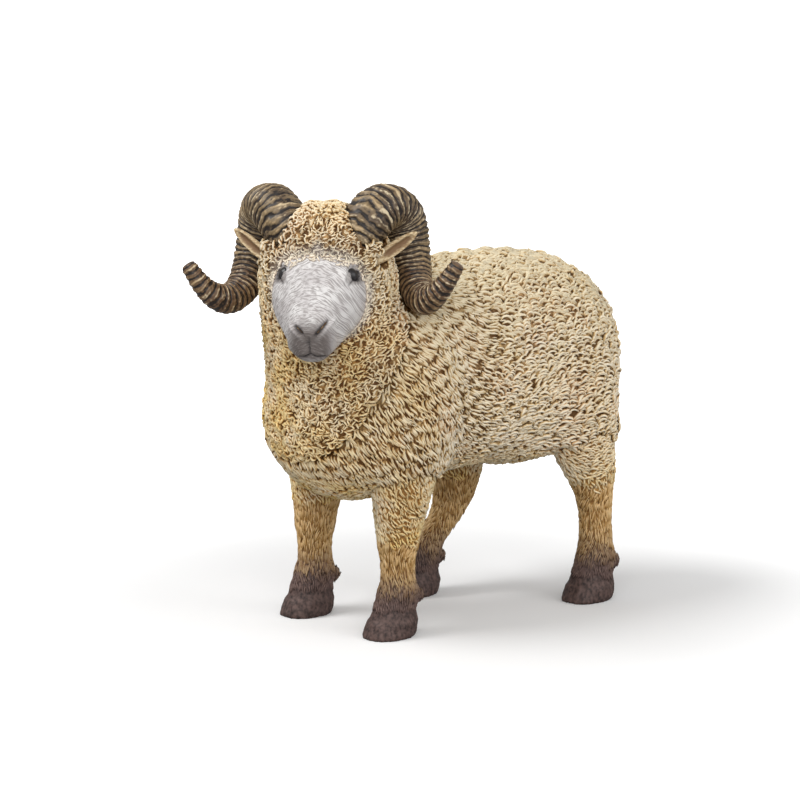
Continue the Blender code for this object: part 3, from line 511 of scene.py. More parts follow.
# Sets a lock on each point, turned, sized and picked as the point's own values say
def lockTree():
    tree = bpy.data.node_groups.new("setLocks", "GeometryNodeTree")
    tree.interface.new_socket("Geometry", in_out="INPUT", socket_type="NodeSocketGeometry")
    locks = tree.interface.new_socket("Locks", in_out="INPUT", socket_type="NodeSocketCollection")
    paint = tree.interface.new_socket("Paint", in_out="INPUT", socket_type="NodeSocketMaterial")
    tree.interface.new_socket("Geometry", in_out="OUTPUT", socket_type="NodeSocketGeometry")
    entry = tree.nodes.new("NodeGroupInput").outputs
    library = addNode(tree, "GeometryNodeCollectionInfo", {
        "Collection": entry["Locks"], "Separate Children": True, "Reset Children": True})
    turn, size, kind = [
        addNode(tree, "GeometryNodeInputNamedAttribute", {"Name": name}, "Attribute", data_type=sort)
        for name, sort in (("turn", "FLOAT_VECTOR"), ("size", "FLOAT_VECTOR"), ("kind", "INT"))]
    rotation = addNode(tree, "FunctionNodeEulerToRotation", {0: turn})
    points = addNode(tree, "GeometryNodeMeshToPoints", {"Mesh": entry["Geometry"]})
    placed = addNode(tree, "GeometryNodeInstanceOnPoints", {
        "Points": points, "Instance": library, "Pick Instance": True, "Instance Index": kind,
        "Rotation": rotation, "Scale": size})
    real = addNode(tree, "GeometryNodeRealizeInstances", {0: placed})
    painted = addNode(tree, "GeometryNodeSetMaterial", {"Geometry": real, "Material": entry["Paint"]})
    tree.links.new(painted, tree.nodes.new("NodeGroupOutput").inputs[0])
    return tree, locks.identifier, paint.identifier


# The locks of these seeds as one finished mesh
def setLocks(name, seeds, paint, seed):
    rng = np.random.default_rng(seed)
    mesh = bpy.data.meshes.new(name)
    mesh.from_pydata([s["at"] for s in seeds], [], [])
    turns, sizes, kinds = [], [], []
    for s in seeds:
        x, y, z = s["axes"]
        lean = Euler((rng.normal(0, 0.07), rng.normal(0, 0.07), rng.normal(0, s["unrest"])))
        turned = Matrix((x, y, z)).transposed() @ lean.to_matrix()
        turns.append(tuple(turned.to_euler()))
        sizes.append((s["length"] * rng.uniform(0.88, 1.16), s["width"] * rng.uniform(0.86, 1.14),
                      s["height"] * rng.uniform(0.82, 1.2)))
        kinds.append(int(rng.choice(lockPlace[s["kind"]])))
    for key, values in (("turn", turns), ("size", sizes)):
        mesh.attributes.new(key, "FLOAT_VECTOR", "POINT").data.foreach_set("vector", np.array(values).ravel())
    mesh.attributes.new("kind", "INT", "POINT").data.foreach_set("value", kinds)
    storeValues(mesh, "tone", rng.normal(0.5, 0.2, len(seeds)).clip(0, 1))
    for key in ("warm", "pale", "foot", "paintedTopShade"):
        storeValues(mesh, key, [s.get(key, 0) for s in seeds])
    obj = addObject(name, mesh)
    modifier = obj.modifiers.new("locks", "NODES")
    modifier.node_group = lockNodes[0]
    modifier[lockNodes[1]] = lockLibrary
    modifier[lockNodes[2]] = paint
    applyModifiers(obj)
    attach(obj, "root")
    return obj


# Brown wash that settled in the grooves, under cream dry-brushing on the strands: golden at the chest, dulled
# by painted shade on upward-facing wool and pale by the face. The eye sees matt wool with dark gaps.
def woolPaint():
    stored = ("rise", "tone", "warm", "pale", "paintedTopShade")
    paint, tree, shader, (rise, tone, warm, pale, paintedTopShade) = startPaint("dryBrushedPvcWool", 0.66, 0.3, *stored)
    spread = addNode(tree, "ShaderNodeMapRange", {
        "Value": grain(tree, 6.0, 2.0), "From Min": 0.34, "From Max": 0.6, "To Min": 0.4},
        interpolation_type="SMOOTHSTEP")
    golden = addNode(tree, "ShaderNodeMath", {0: warm, 1: spread}, operation="MULTIPLY")
    speckle = grain(tree, 0.5)
    level = addNode(tree, "ShaderNodeMath", {0: speckle, 1: 0.45, 2: rise}, operation="MULTIPLY_ADD")
    # upward-facing wool gets painted light and shade from above: its grooves a little lighter here, its
    # strands duller below
    level = addNode(tree, "ShaderNodeMath", {0: paintedTopShade, 1: 0.06, 2: level}, operation="MULTIPLY_ADD")
    body = coat(tree, "#CBA870", "#E2C898", tone)
    body = coat(tree, body, "#D8B080", grain(tree, 9.0, 2.0), (0.42, 0.66))
    body = coat(tree, body, "#C8923C", golden, thickness=0.95)
    # painted shade dulls the strands on upward-facing wool
    body = coat(tree, body, "#BBA173", paintedTopShade, thickness=0.55)
    body = coat(tree, body, "#DDD5D0", pale, thickness=0.8)
    groove = coat(tree, coat(tree, "#5A3D1C", "#643D0C", golden), "#8E827A", pale)
    # the dry-brushed tops are dulled by the same painted shade on upward-facing wool
    brushed = coat(tree, coat(tree, "#FDF2DC", "#FADD92", golden), "#DED0AE", paintedTopShade, thickness=0.7)
    colour = coat(tree, groove, body, level, (0.325, 0.725))
    colour = coat(tree, colour, brushed, level, (0.675, 1.075), 0.95)
    strands = addNode(tree, "ShaderNodeUVMap", uv_map="UVMap")  # lined lengthwise, 13 lines to a lock
    lined = addNode(tree, "ShaderNodeMapping", {"Vector": strands, "Scale": (1.2, 13.0, 1.0)})
    lines = addNode(tree, "ShaderNodeTexNoise", {"Vector": lined, "Scale": 1.0, "Detail": 2.0})
    relief = addNode(tree, "ShaderNodeMath", {0: speckle, 1: 0.6, 2: lines}, operation="MULTIPLY_ADD")
    endPaint(tree, shader, colour, relief, 0.10)
    return paint


# Tan hair with lighter tips over brown wash, darkening to the hoof's brown. The eye sees fine combed streaks.
def hairPaint():
    stored = ("rise", "tone", "foot")
    paint, tree, shader, (rise, tone, foot) = startPaint("dryBrushedPvcHair", 0.6, 0.35, *stored)
    speckle = grain(tree, 0.5)
    level = addNode(tree, "ShaderNodeMath", {0: speckle, 1: 0.6, 2: rise}, operation="MULTIPLY_ADD")
    along = addNode(tree, "ShaderNodeSeparateXYZ", {0: addNode(tree, "ShaderNodeUVMap", uv_map="UVMap")})
    tip = addNode(tree, "ShaderNodeMath", {0: tone, 1: 0.9, 2: along}, operation="MULTIPLY_ADD")
    body = coat(tree, coat(tree, "#B1874C", "#EAC68E", tip, (0.55, 1.35)), "#65504A", foot)
    top = coat(tree, coat(tree, "#DCB67A", "#FDEBC8", tip, (0.55, 1.35)), "#A0877C", foot)
    groove = coat(tree, "#7A5426", "#2C201E", foot)
    colour = coat(tree, groove, body, level, (0.4, 0.85))
    colour = coat(tree, colour, top, level, (1.0, 1.5), 0.8)
    endPaint(tree, shader, colour, speckle, 0.06)
    return paint


makeCamera()
makeLights()
makeFloor()
print("stage done")
makeLockLibrary()
lockNodes = lockTree()
wool = woolPaint()
hair = hairPaint()
print("locks and paint ready")

# The face's sections behind the eyes to the lips, as in the solid: the top's place forwards and up, the
# bottom's, and the width
face = {"reach": 15.2 * mm, "drop": 14.4 * mm, "width": 16.8 * mm, "roundness": 2.25, "rings": 150,
        "sides": 176}
faceSections = (
    (-0.12, 0.42, -0.30, -0.50, 0.90),
    (0.20, 0.375, -0.04, -0.66, 0.98),
    (0.38, 0.245, 0.12, -0.72, 1.00),
    (0.50, 0.12, 0.26, -0.77, 0.98),
    (0.62, -0.03, 0.39, -0.825, 0.87),
    (0.74, -0.185, 0.52, -0.88, 0.72),
    (0.85, -0.33, 0.65, -0.94, 0.605),
    (0.94, -0.43, 0.76, -0.99, 0.565),
    (0.985, -0.51, 0.855, -0.98, 0.51),
    (1.00, -0.60, 0.92, -0.87, 0.36),
)


def ovalRing(centre, across, along, halfAcross, halfAlong):
    ring = []
    for index in range(face["sides"]):
        angle = 2 * math.pi * index / face["sides"]
        plain = (math.cos(angle), math.sin(angle))
        c, s = [math.copysign(abs(v) ** (2 / face["roundness"]), v) for v in plain]
        ring.append(centre + across * (c * halfAcross) + along * (s * halfAlong))
    return ring


# The face's closed form in the head's own frame, before its features
def faceForm():
    rows = [(index, *row) for index, row in enumerate(faceSections)]
    rings = []
    for step in range(face["rings"]):
        place = (len(rows) - 1) * step / (face["rings"] - 1)
        topForward, topUp, lowForward, lowUp, width = interpolate(rows, place)
        top = Vector((0, -topForward * face["reach"], topUp * face["drop"]))
        low = Vector((0, -lowForward * face["reach"], lowUp * face["drop"]))
        rings.append(ovalRing((top + low) / 2, Vector((1, 0, 0)), (top - low).normalized(),
                              width * face["width"] / 2, (top - low).length / 2))
    tip = sum(rings[-1], Vector()) / len(rings[-1])  # the nose closes in four rings, the first one pushed out
    rings.append([tip + (point - tip) * 0.86 + Vector((0, -0.035 * mm, 0)) for point in rings[-1]])
    for share in (0.66, 0.42, 0.18):
        rings.append([tip + (point - tip) * share / 0.86 for point in rings[-1]])
    return sweep("face", rings)


faceObject = addObject("face", faceForm())
faceTree = treeOf(faceObject)
solids = {name: treeOf(obj) for name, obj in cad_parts.items()}
eye = {"spread": 5.95 * mm, "forward": 5.7 * mm, "up": 0.1 * mm, "radius": 1.5 * mm, "long": 1.16 * mm,
       "tall": 0.78 * mm, "sunk": 0.36 * mm}


def eyeCentre(side):
    return Vector((side * eye["spread"], -eye["forward"], eye["up"]))


def toNearerEye(inHead):
    return min((inHead - eyeCentre(side)).length for side in (1, -1))


# The way across the surface at this slant, from level to downhill
def slanted(slant, level=backwards, drop=down):
    return level * math.cos(slant) + drop * math.sin(slant)


# Whether another piece lies over this point of the skin
def covered(at, normal, reach):
    start = at + normal * 0.1 * mm
    return any(tree.ray_cast(start, normal, reach)[0] is not None for tree in solids.values())


# The locks of each region: kind, length, pitch up a stack, width and height in millimetres, how many stack up
# each way, and how far they turn out of line
regionLocks = {
    "flank": ("crescent", 2.5, 0.78, 2.6, 0.54, 12, 0.10),
    "shoulder": ("worm", 2.9, 0.55, 2.3, 0.42, 4, 0.14),
    "belly": ("curl", 1.6, 1.1, 1.7, 0.55, 0, 3.0),
    "mane": ("worm", 1.9, 0.62, 2.1, 0.55, 2, 0.4),
    "forelock": ("curl", 1.45, 1.0, 1.55, 0.58, 0, 3.0),
    "faceEdge": ("curl", 1.5, 0.9, 1.5, 0.26, 0, 2.0),
    "tail": ("worm", 2.2, 0.56, 2.1, 0.5, 2, 0.25),
    "thigh": ("crescent", 2.2, 0.74, 2.3, 0.5, 6, 0.12),
    "legWool": ("worm", 2.0, 0.62, 2.0, 0.36, 2, 0.25),
    "legHair": ("stroke", 3.1, 0.37, 2.5, 0.30, 1, 0.14),
}


# A region's lock, whose long way lies along chord and whose arch points up
def lockRule(region, normal, chord, size=1.0, **values):
    kind, length, pitch, width, height, stack, unrest = regionLocks[region]
    chord = (chord - normal * chord.dot(normal)).normalized()
    stackUp = normal.cross(chord)
    if stackUp.z < 0:
        stackUp = -stackUp
    sizes = {"length": length * size * mm, "pitch": pitch * size * mm, "width": width * size * mm,
             "height": height * size * mm}
    return {"kind": kind, **sizes, "stack": stack, "unrest": unrest, "stackUp": stackUp, **values}


# Arches in stacks on the flank and rump, slanting worms on the shoulder, curls under the belly
def torsoRule(at, normal):
    if covered(at, normal, 1.3 * mm):
        return None
    shoulder = 1 - smooth(4 * mm, 20 * mm, at.y)
    low = 1 - smooth(28 * mm, 12 * mm, at.z)
    spine = smooth(0.93, 0.2, normal.z)
    belly = smooth(0.75, 0.3, -normal.z)
    slant = math.radians(62) * shoulder + math.radians(22) * low * shoulder
    slant += math.radians(22) * wander(at, 6 * mm, 3)
    slant += math.radians(80) * spine * wander(at, 3.5 * mm, 9)
    slant += math.radians(90) * belly * wander(at, 3 * mm, 5)
    chord = slanted(slant)
    warm = 0.12 + 0.4 * (1 - smooth(-12 * mm, 12 * mm, at.y)) + 0.3 * belly + 0.35 * (
        1 - smooth(27 * mm, 10 * mm, at.z))
    # upward-facing wool is given painted shade: duller strands and slightly lighter grooves
    values = {"warm": min(max(warm + 0.15 * wander(at, 8 * mm), 0), 1), "paintedTopShade": smooth(0.35, 1.0, normal.z)}
    mood = shoulder + 0.35 * wander(at, 5 * mm, 21) + 0.5 * spine
    if belly > 0.5:
        return lockRule("belly", normal, chord, **values)
    if mood > 0.5 or low * (0.7 + 0.5 * wander(at, 4 * mm, 2)) > 0.6:
        return lockRule("shoulder", normal, chord, **values)
    return lockRule("flank", normal, chord, **values)


# Short curly worms every way on the neck and chest, small curls on the head, paler where the face begins
def neckRule(at, normal):
    if covered(at, normal, 1.3 * mm):
        return None
    inHead = worldToHead @ at
    near = faceTree.find_nearest(inHead)
    clear = (inHead - near[0]).dot(near[1])
    if (clear < 0.25 * mm and inHead.y < 3 * mm) or toNearerEye(inHead) < 2.9 * mm:
        return None
    peak = 1 - smooth(2.2 * mm, 2.0 * mm, abs(inHead.x) + 0.9 * max(inHead.z - 4 * mm, 0))
    nearFace = max(1 - smooth(1.0 * mm, 1.6 * mm, near[3]), peak if inHead.y < 0 and inHead.z > 0 else 0)
    onHead = smooth(58 * mm, 8 * mm, at.z)
    chord = slanted(math.pi * 1.6 * wander(at, 3.2 * mm, 4), drop=down + normal.cross(backwards))
    rightSide = 1 - smooth(-9 * mm, 12 * mm, at.x)
    warm = (0.45 + 0.7 * rightSide) * (1 - smooth(-15 * mm, 14 * mm, at.y)) * (1 - 0.85 * onHead) + 0.22
    warm = min(max((warm + 0.25 * wander(at, 7 * mm, 6)) * (1 - nearFace), 0), 1)
    size = 0.9 - 0.06 * onHead - 0.2 * nearFace
    region = "forelock" if wander(at, 2.5 * mm, 8) > 0.12 - 0.25 * onHead else "mane"
    return lockRule(region, normal, chord, size, warm=warm, pale=nearFace)


# A node's skin in the wash's colour and the seeds of the locks over it
def makeSkin(nodeName, rule, candidates, seed, paint, voxel=0.5 * mm):
    skin = copyOf(nodeName, voxel)
    seeds = scatterLocks(skin, rule, candidates, seed)
    points = arrayOf(skin.data)
    rough = np.array([wander(Vector(p), 1.1 * mm) for p in points])
    normals = np.array([v.normal for v in skin.data.vertices])
    grid = Grid(seeds)
    values = {"warm": [], "pale": [], "foot": [], "paintedTopShade": []}
    for p in points:
        p = Vector(p)
        nearest = min(grid.near(p), key=lambda s: (s["at"] - p).length_squared, default={})
        for key, column in values.items():
            column.append(nearest.get(key, 0))
    putArray(skin.data, points + normals * (rough * 0.12 * mm)[:, None])
    storeValues(skin.data, "rise", 0.16 + 0.34 * rough)
    storeValues(skin.data, "tone", np.full(len(points), 0.5))
    for key, column in values.items():
        storeValues(skin.data, key, column)
    skin.data.materials.append(paint)
    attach(skin, "root")
    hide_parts(nodeName)
    return skin, seeds


torsoSkin, torsoSeeds = makeSkin("torso", torsoRule, 42000, 11, wool)
print("torso locks", len(torsoSeeds))
neckSkin, neckSeeds = makeSkin("neck_and_head", neckRule, 42000, 12, wool)
print("neck locks", len(neckSeeds))


# The wool's skin lies a little under the face piece, which shows in its place
def sinkUnderFace(skin):
    points = [Vector(p) for p in arrayOf(skin.data)]
    for index, point in enumerate(points):
        inHead = worldToHead @ point
        surface, normal, _index, _distance = faceTree.find_nearest(inHead)
        reach = 0.3 * mm + 1.2 * mm * (1 - smooth(2.4 * mm, 0.8 * mm, toNearerEye(inHead)))
        if (inHead - surface).dot(normal) < reach and inHead.y < 4 * mm:
            points[index] = headToWorld @ (surface - normal * 0.7 * mm)
    putArray(skin.data, np.array(points))


sinkUnderFace(neckSkin)
locksInPiece = 2200  # so that no piece passes 200,000 triangles

for region, seeds in (("torso", torsoSeeds), ("neck", neckSeeds)):
    ordered = sorted(seeds, key=lambda s: s["at"].y)
    pieces = math.ceil(len(ordered) / locksInPiece)
    for number in range(pieces):
        group = ordered[len(ordered) * number // pieces:len(ordered) * (number + 1) // pieces]
        locks = setLocks(f"{region}Locks{number + 1}", group, wool, 20 + number)
        print(locks.name, len(group), "locks,", len(locks.data.polygons) * 2, "triangles")


# Wool that hangs down the tail in short worms
def tailRule(at, normal):
    if covered(at, normal, 1.0 * mm):
        return None
    chord = slanted(math.radians(90) + 0.8 * wander(at, 3 * mm, 4), Vector((1, 0, 0)))
    return lockRule("tail", normal, chord, warm=0.15)


tailSkin, tailSeeds = makeSkin("tail", tailRule, 4000, 13, wool)
setLocks("tailLocks", tailSeeds, wool, 31)


# The horn's path as in the solid: spread, forwards, up, thickness, and width as a share of the thickness
horn = {"thickness": 9.2 * mm, "spread": 25.0 * mm, "curl": 8.0 * mm, "back": 4.5 * mm, "up": 2.6 * mm,
        "sag": 0.9 * mm, "sides": 64, "perRing": 10, "pitchAtRoot": 1.2 * mm, "pitchAtTip": 1.15 * mm,
        "ridge": 0.42 * mm}
hornPath = (
    (0.217, 0.527, 0.231, 0.970, 0.88), (0.276, 0.459, 0.648, 1.002, 1.00),
    (0.350, 0.210, 1.005, 0.964, 1.06), (0.440, -0.274, 1.122, 0.903, 1.16),
    (0.505, -0.772, 0.780, 0.840, 1.22), (0.555, -0.833, 0.079, 0.785, 1.16),
    (0.596, -0.572, -0.538, 0.735, 1.04), (0.652, -0.109, -0.930, 0.685, 0.96),
    (0.736, 0.352, -0.999, 0.610, 0.92), (0.826, 0.635, -0.779, 0.520, 0.90),
    (0.905, 0.725, -0.430, 0.430, 0.90), (0.970, 0.740, -0.110, 0.350, 0.90),
)


# The values of a smooth curve that the rows pull towards themselves, this far along it
def pulled(rows, share):
    last = len(rows) - 1
    index = min(int(share * last), last - 1)
    t = share * last - index
    weights = ((1 - t) ** 3, 3 * t ** 3 - 6 * t ** 2 + 4, 3 * t * (1 + t - t ** 2) + 1, t ** 3)
    values = []
    for column in zip(*rows):
        padded = (2 * column[0] - column[1], *column, 2 * column[last] - column[last - 1])
        values.append(sum(w * v for w, v in zip(weights, padded[index:index + 4])) / 6)
    return values


def hornCentre(share, side):
    spread, forwards, rise, _thickness, _width = pulled(hornPath, share)
    sag = horn["sag"] * share if side < 0 else 0
    return Vector((side * spread * horn["spread"], horn["back"] - forwards * horn["curl"],
                   horn["up"] - sag + rise * horn["curl"]))


# A horn whose growth rings are raised, worn on top and wander a little round it
def makeHorn(nodeName, side):
    steps = 400
    centres = [hornCentre(step / steps, side) for step in range(steps + 1)]
    travelled = [(b - a).length for a, b in zip(centres, centres[1:])]
    pitches = np.interp(np.arange(steps) / steps, (0, 1), (horn["pitchAtRoot"], horn["pitchAtTip"]))
    phases = np.concatenate([[0], np.cumsum(np.array(travelled) / pitches)])
    count = int(phases[-1] * horn["perRing"])
    shares = np.interp(np.arange(count + 1) / horn["perRing"], phases, np.arange(steps + 1) / steps)
    rings, rises = [], []
    for number, share in enumerate(shares):
        ahead, behind = hornCentre(min(share + 0.005, 1), side), hornCentre(max(share - 0.005, 0), side)
        along = (ahead - behind).normalized()
        outwards = Vector((side, 0, 0))
        outwards = (outwards - along * outwards.dot(along)).normalized()
        curlwards = along.cross(outwards)
        thickness, width = pulled(hornPath, share)[-2:]
        radius = thickness * horn["thickness"] / 2
        centre = hornCentre(share, side)
        loose = 1 - 0.6 * share
        ring = []
        for index in range(horn["sides"]):
            angle = 2 * math.pi * index / horn["sides"]
            way = outwards * (math.cos(angle) * width) + curlwards * math.sin(angle)
            place = centre + way * radius
            phase = number / horn["perRing"] + loose * (0.55 * wander(place, 3.4 * mm, 3) + 0.3 * wander(
                place, 1.5 * mm, 5))
            ringPlace = Vector((math.floor(phase) * 1.7, side * 3 + angle * 0.5, 0)) * mm
            ridge = abs(math.sin(math.pi * phase)) ** 1.2 * (0.86 + 0.4 * wander(ringPlace, mm, 1))
            fine = 0.5 + 0.5 * math.cos(2 * math.pi * (phase * 2.6 + 0.5 * wander(place, 1.2 * mm, 8)))
            level = min(max(ridge * 0.72 + fine * 0.28 + 0.26 * wander(place, 0.5 * mm, 11), 0), 1.1)
            lift = horn["ridge"] * (0.45 + 0.55 * thickness) * (level - 1.0)
            ring.append(centre + way * (radius + lift + 0.10 * mm * wander(place, 3.5 * mm, 13)))
            rises.append(level)
        rings.append(ring)
    ahead = (sum(rings[-1], Vector()) - sum(rings[-4], Vector())).normalized()
    for ring in closingRings(rings[-1], ahead, ((0.93, 0.12), (0.78, 0.25), (0.55, 0.34), (0.28, 0.38))):
        rings.append(ring)
        rises += [0.55 + 0.2 * wander(p, 0.6 * mm) for p in ring]
    mesh = sweep(nodeName + "Form", rings)
    storeValues(mesh, "rise", rises)
    places = [min(number / count, 1) for number in range(len(rings)) for _ in range(horn["sides"])]
    storeValues(mesh, "place", places)
    mesh.transform(headToWorld)
    obj = addObject(nodeName + "Ribbed", mesh)
    mesh.materials.append(hornFinish)
    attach(obj, "root")
    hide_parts(nodeName)
    print(obj.name, "rings", round(float(phases[-1])), "triangles", len(mesh.polygons) * 2)


# Near-black wash between the growth rings, olive brown on their flanks, tan dry-brushing on their tops. The
# eye sees worn ridges with a faint sheen.
def hornPaint():
    paint, tree, shader, (rise, place) = startPaint("dryBrushedPvcHorn", 0.46, 0.45, "rise", "place")
    speckle = grain(tree, 0.7, 4.0)
    patches = grain(tree, 4.5, 2.0)
    level = addNode(tree, "ShaderNodeMath", {0: speckle, 1: 0.7, 2: rise}, operation="MULTIPLY_ADD")
    body = coat(tree, "#5C4A38", "#806C4E", patches, (0.35, 0.65))
    body = coat(tree, body, "#6E4F35", place, (0.45, 0.7), 0.6)
    brushed = coat(tree, "#E6D5B2", "#B89C74", patches, (0.35, 0.65))
    colour = coat(tree, "#1E1510", body, level, (0.63, 0.97))
    colour = coat(tree, colour, brushed, level, (1.03, 1.35), 0.85)
    endPaint(tree, shader, colour, speckle, 0.05)
    return paint


hornFinish = hornPaint()
makeHorn("horn_left", 1)
makeHorn("horn_right", -1)


# Cream paint streaked over tan, with brown wash in the hollow. The eye sees soft short hair.
def earPaint():
    paint, tree, shader, (rise,) = startPaint("brushPaintedPvcEar", 0.6, 0.35, "rise")
    streaks = grain(tree, 0.6, 3.0, (1, 1, 2.5))
    colour = coat(tree, "#A98C66", "#D9C49E", streaks, (0.35, 0.65))
    colour = coat(tree, "#7C5F42", colour, rise, (0.0, 0.8))
    endPaint(tree, shader, colour, streaks, 0.10)
    return paint


# The sections are the place along the ear, the width and the thickness
ear = {"length": 9.0 * mm, "width": 2.5 * mm, "thickness": 1.9 * mm, "cup": 0.95 * mm, "rootSpread": 9.8 * mm,
       "rootUp": 2.3 * mm, "rootForward": 1.2 * mm, "rise": math.radians(31), "sweep": math.radians(30),
       "roll": math.radians(20), "steps": 70, "sides": 40}
earSections = (
    (-0.22, 0.60, 0.84), (0.00, 0.70, 0.90), (0.25, 0.96, 1.00), (0.50, 1.00, 0.95), (0.75, 0.80, 0.80),
    (0.93, 0.45, 0.55), (1.00, 0.16, 0.25),
)


# A leaf with a hollow along its front
def makeEar(nodeName, side, finish):
    along = Vector((side * math.cos(ear["rise"]) * math.cos(ear["sweep"]),
                    math.cos(ear["rise"]) * math.sin(ear["sweep"]), math.sin(ear["rise"])))
    across = along.cross(Vector((0, -1, 0))).normalized() * -side
    across = Matrix.Rotation(ear["roll"] * side, 3, along) @ across
    through = along.cross(across)
    if through.y > 0:
        through = -through
    root = Vector((side * ear["rootSpread"], -ear["rootForward"], ear["rootUp"]))
    start, end = earSections[0][0], earSections[-1][0]
    rings, rises = [], []
    for step in range(ear["steps"] + 1):
        place = start + (end - start) * step / ear["steps"]
        width, thickness = interpolate(earSections, place)
        hollow = smooth(0.16, 0.2, place) * (1 - smooth(0.86, 0.24, place))
        ring = []
        for index in range(ear["sides"]):
            angle = 2 * math.pi * index / ear["sides"]
            c, s = math.cos(angle), math.sin(angle)
            cup = max(s, 0) * hollow * (1 - min(abs(c) / 0.8, 1) ** 2)
            point = root + along * (place * ear["length"]) + across * (c * width * ear["width"] / 2)
            streak = 0.07 * mm * wander(Vector((c * width * 3, s, place * 2.2)) * mm, 0.55 * mm, 3 + side)
            point += through * (s * thickness * ear["thickness"] / 2 - cup * ear["cup"] + streak)
            ring.append(point)
            rises.append(min(max(1 - 1.15 * cup + 0.25 * wander(point, 0.8 * mm), 0), 1))
        rings.append(ring)
    mesh = sweep(nodeName + "Form", rings)
    storeValues(mesh, "rise", rises)
    mesh.transform(headToWorld)
    obj = addObject(nodeName + "Leaf", mesh)
    mesh.materials.append(finish)
    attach(obj, "root")
    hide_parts(nodeName)


earFinish = earPaint()
makeEar("ear_left", 1, earFinish)
makeEar("ear_right", -1, earFinish)
print("horns and ears done")


leg = {"darkFrom": 11.6 * mm, "darkSoftness": 8.5 * mm, "hairFrom": 5.2 * mm}
legWoolFrom = {"leg_front_left": 17.5 * mm, "leg_front_right": 21.6 * mm, "leg_hind_left": 22 * mm,
               "leg_hind_right": 22 * mm}


# Wool worms at the top of the leg, then hair that lies down it, and short dark hair over the hoof
def legRuleFrom(woolFrom):
    def legRule(at, normal):
        if covered(at, normal, 0.8 * mm) or abs(normal.z) > 0.9:
            return None
        if at.z < leg["hairFrom"] + 0.8 * mm * wander(at, 2 * mm, 1):
            return None
        if smooth(woolFrom, 3 * mm, at.z + 2 * mm * wander(at, 3 * mm, 7)) > 0.5:
            high = smooth(woolFrom + 2 * mm, 6 * mm, at.z)
            arched = at.y > 0 and high + 0.4 * wander(at, 3 * mm, 12) > 0.5
            if arched:
                return lockRule("thigh", normal, slanted(0.5 * wander(at, 4 * mm, 31)), warm=0.75 - 0.4 * high)
            chord = slanted(math.radians(78) + 0.8 * wander(at, 3 * mm, 31))
            height = (0.36 + 0.16 * high) * mm
            return lockRule("legWool", normal, chord, height=height, warm=0.95 - 0.3 * high)
        level = at.z + 1.6 * mm * wander(at, 2.5 * mm, 17)
        foot = 1 - smooth(leg["darkFrom"] - 1.5 * mm, leg["darkSoftness"], level)
        chord = slanted(math.radians(78) + 0.7 * wander(at, 6 * mm, 41), normal.cross(up))
        return lockRule("legHair", normal, chord, length=(3.1 - 1.1 * foot) * mm,
                        height=(0.30 - 0.08 * foot) * mm, warm=0.5, foot=foot)
    return legRule


for number, (nodeName, woolFrom) in enumerate(legWoolFrom.items()):
    skin, seeds = makeSkin(nodeName, legRuleFrom(woolFrom), 12000, 40 + number, hair, 0.3 * mm)
    woolly = [s for s in seeds if s["kind"] != "stroke"]
    hairy = [s for s in seeds if s["kind"] == "stroke"]
    places = [v.co for v in skin.data.vertices]
    darkness = [1 - smooth(leg["darkFrom"], leg["darkSoftness"], p.z) for p in places]
    streaks = [0.34 + 0.22 * wander(Vector((p.x, p.y, p.z * 0.3)), 0.45 * mm, 2) for p in places]
    skin.data.attributes["foot"].data.foreach_set("value", darkness)
    skin.data.attributes["rise"].data.foreach_set("value", streaks)
    setLocks(nodeName + "Wool", woolly, wool, 50 + number)
    setLocks(nodeName + "Hair", hairy, hair, 60 + number)
    print(nodeName, len(woolly), len(hairy))


# White paint over short hair, with grey wash at the muzzle and grey painted shade round the eyes and between
# the strokes. The eye sees fine strokes that bend outwards and down from the nose.
def facePaint():
    stored = ("grey", "dark", "alongHair", "acrossHair")
    paint, tree, shader, (grey, dark, along, across) = startPaint("dryBrushedPvcFace", 0.55, 0.35, *stored)
    flow = addNode(tree, "ShaderNodeCombineXYZ", {"X": along, "Y": across})
    strokes = addNode(tree, "ShaderNodeTexNoise", {"Vector": flow, "Scale": 1.0, "Detail": 2.0})
    light = addNode(tree, "ShaderNodeMapRange", {
        "Value": strokes, "From Min": 0.55, "From Max": 0.68, "To Max": 0.5}, interpolation_type="SMOOTHSTEP")
    lightOnGrey = addNode(tree, "ShaderNodeMath", {0: grey, 1: light}, operation="MULTIPLY")
    colour = coat(tree, "#DAD7D5", "#C6C1C0", grain(tree, 3.0, 2.0), (0.35, 0.7))
    # grey in the low parts between the hair strokes is painted shade
    colour = coat(tree, colour, "#918A88", strokes, (0.55, 0.4), 0.8)
    # this grey is the muzzle's wash and, round the eyes, painted shade
    colour = coat(tree, colour, "#6C635F", grey)
    colour = coat(tree, colour, "#A39B97", lightOnGrey)
    colour = coat(tree, colour, "#262325", dark)
    endPaint(tree, shader, colour, strokes, 0.22)
    return paint


# The way the eye looks out, the way to its inner corner and the way up across it
def eyeAxes(side):
    out = Vector((side * 0.86, -0.50, 0.10)).normalized()
    inner = Vector((-side * 0.42, -0.80, -0.42))
    inner = (inner - out * inner.dot(out)).normalized()
    rise = out.cross(inner) * side
    return out, inner, -rise if rise.z < 0 else rise


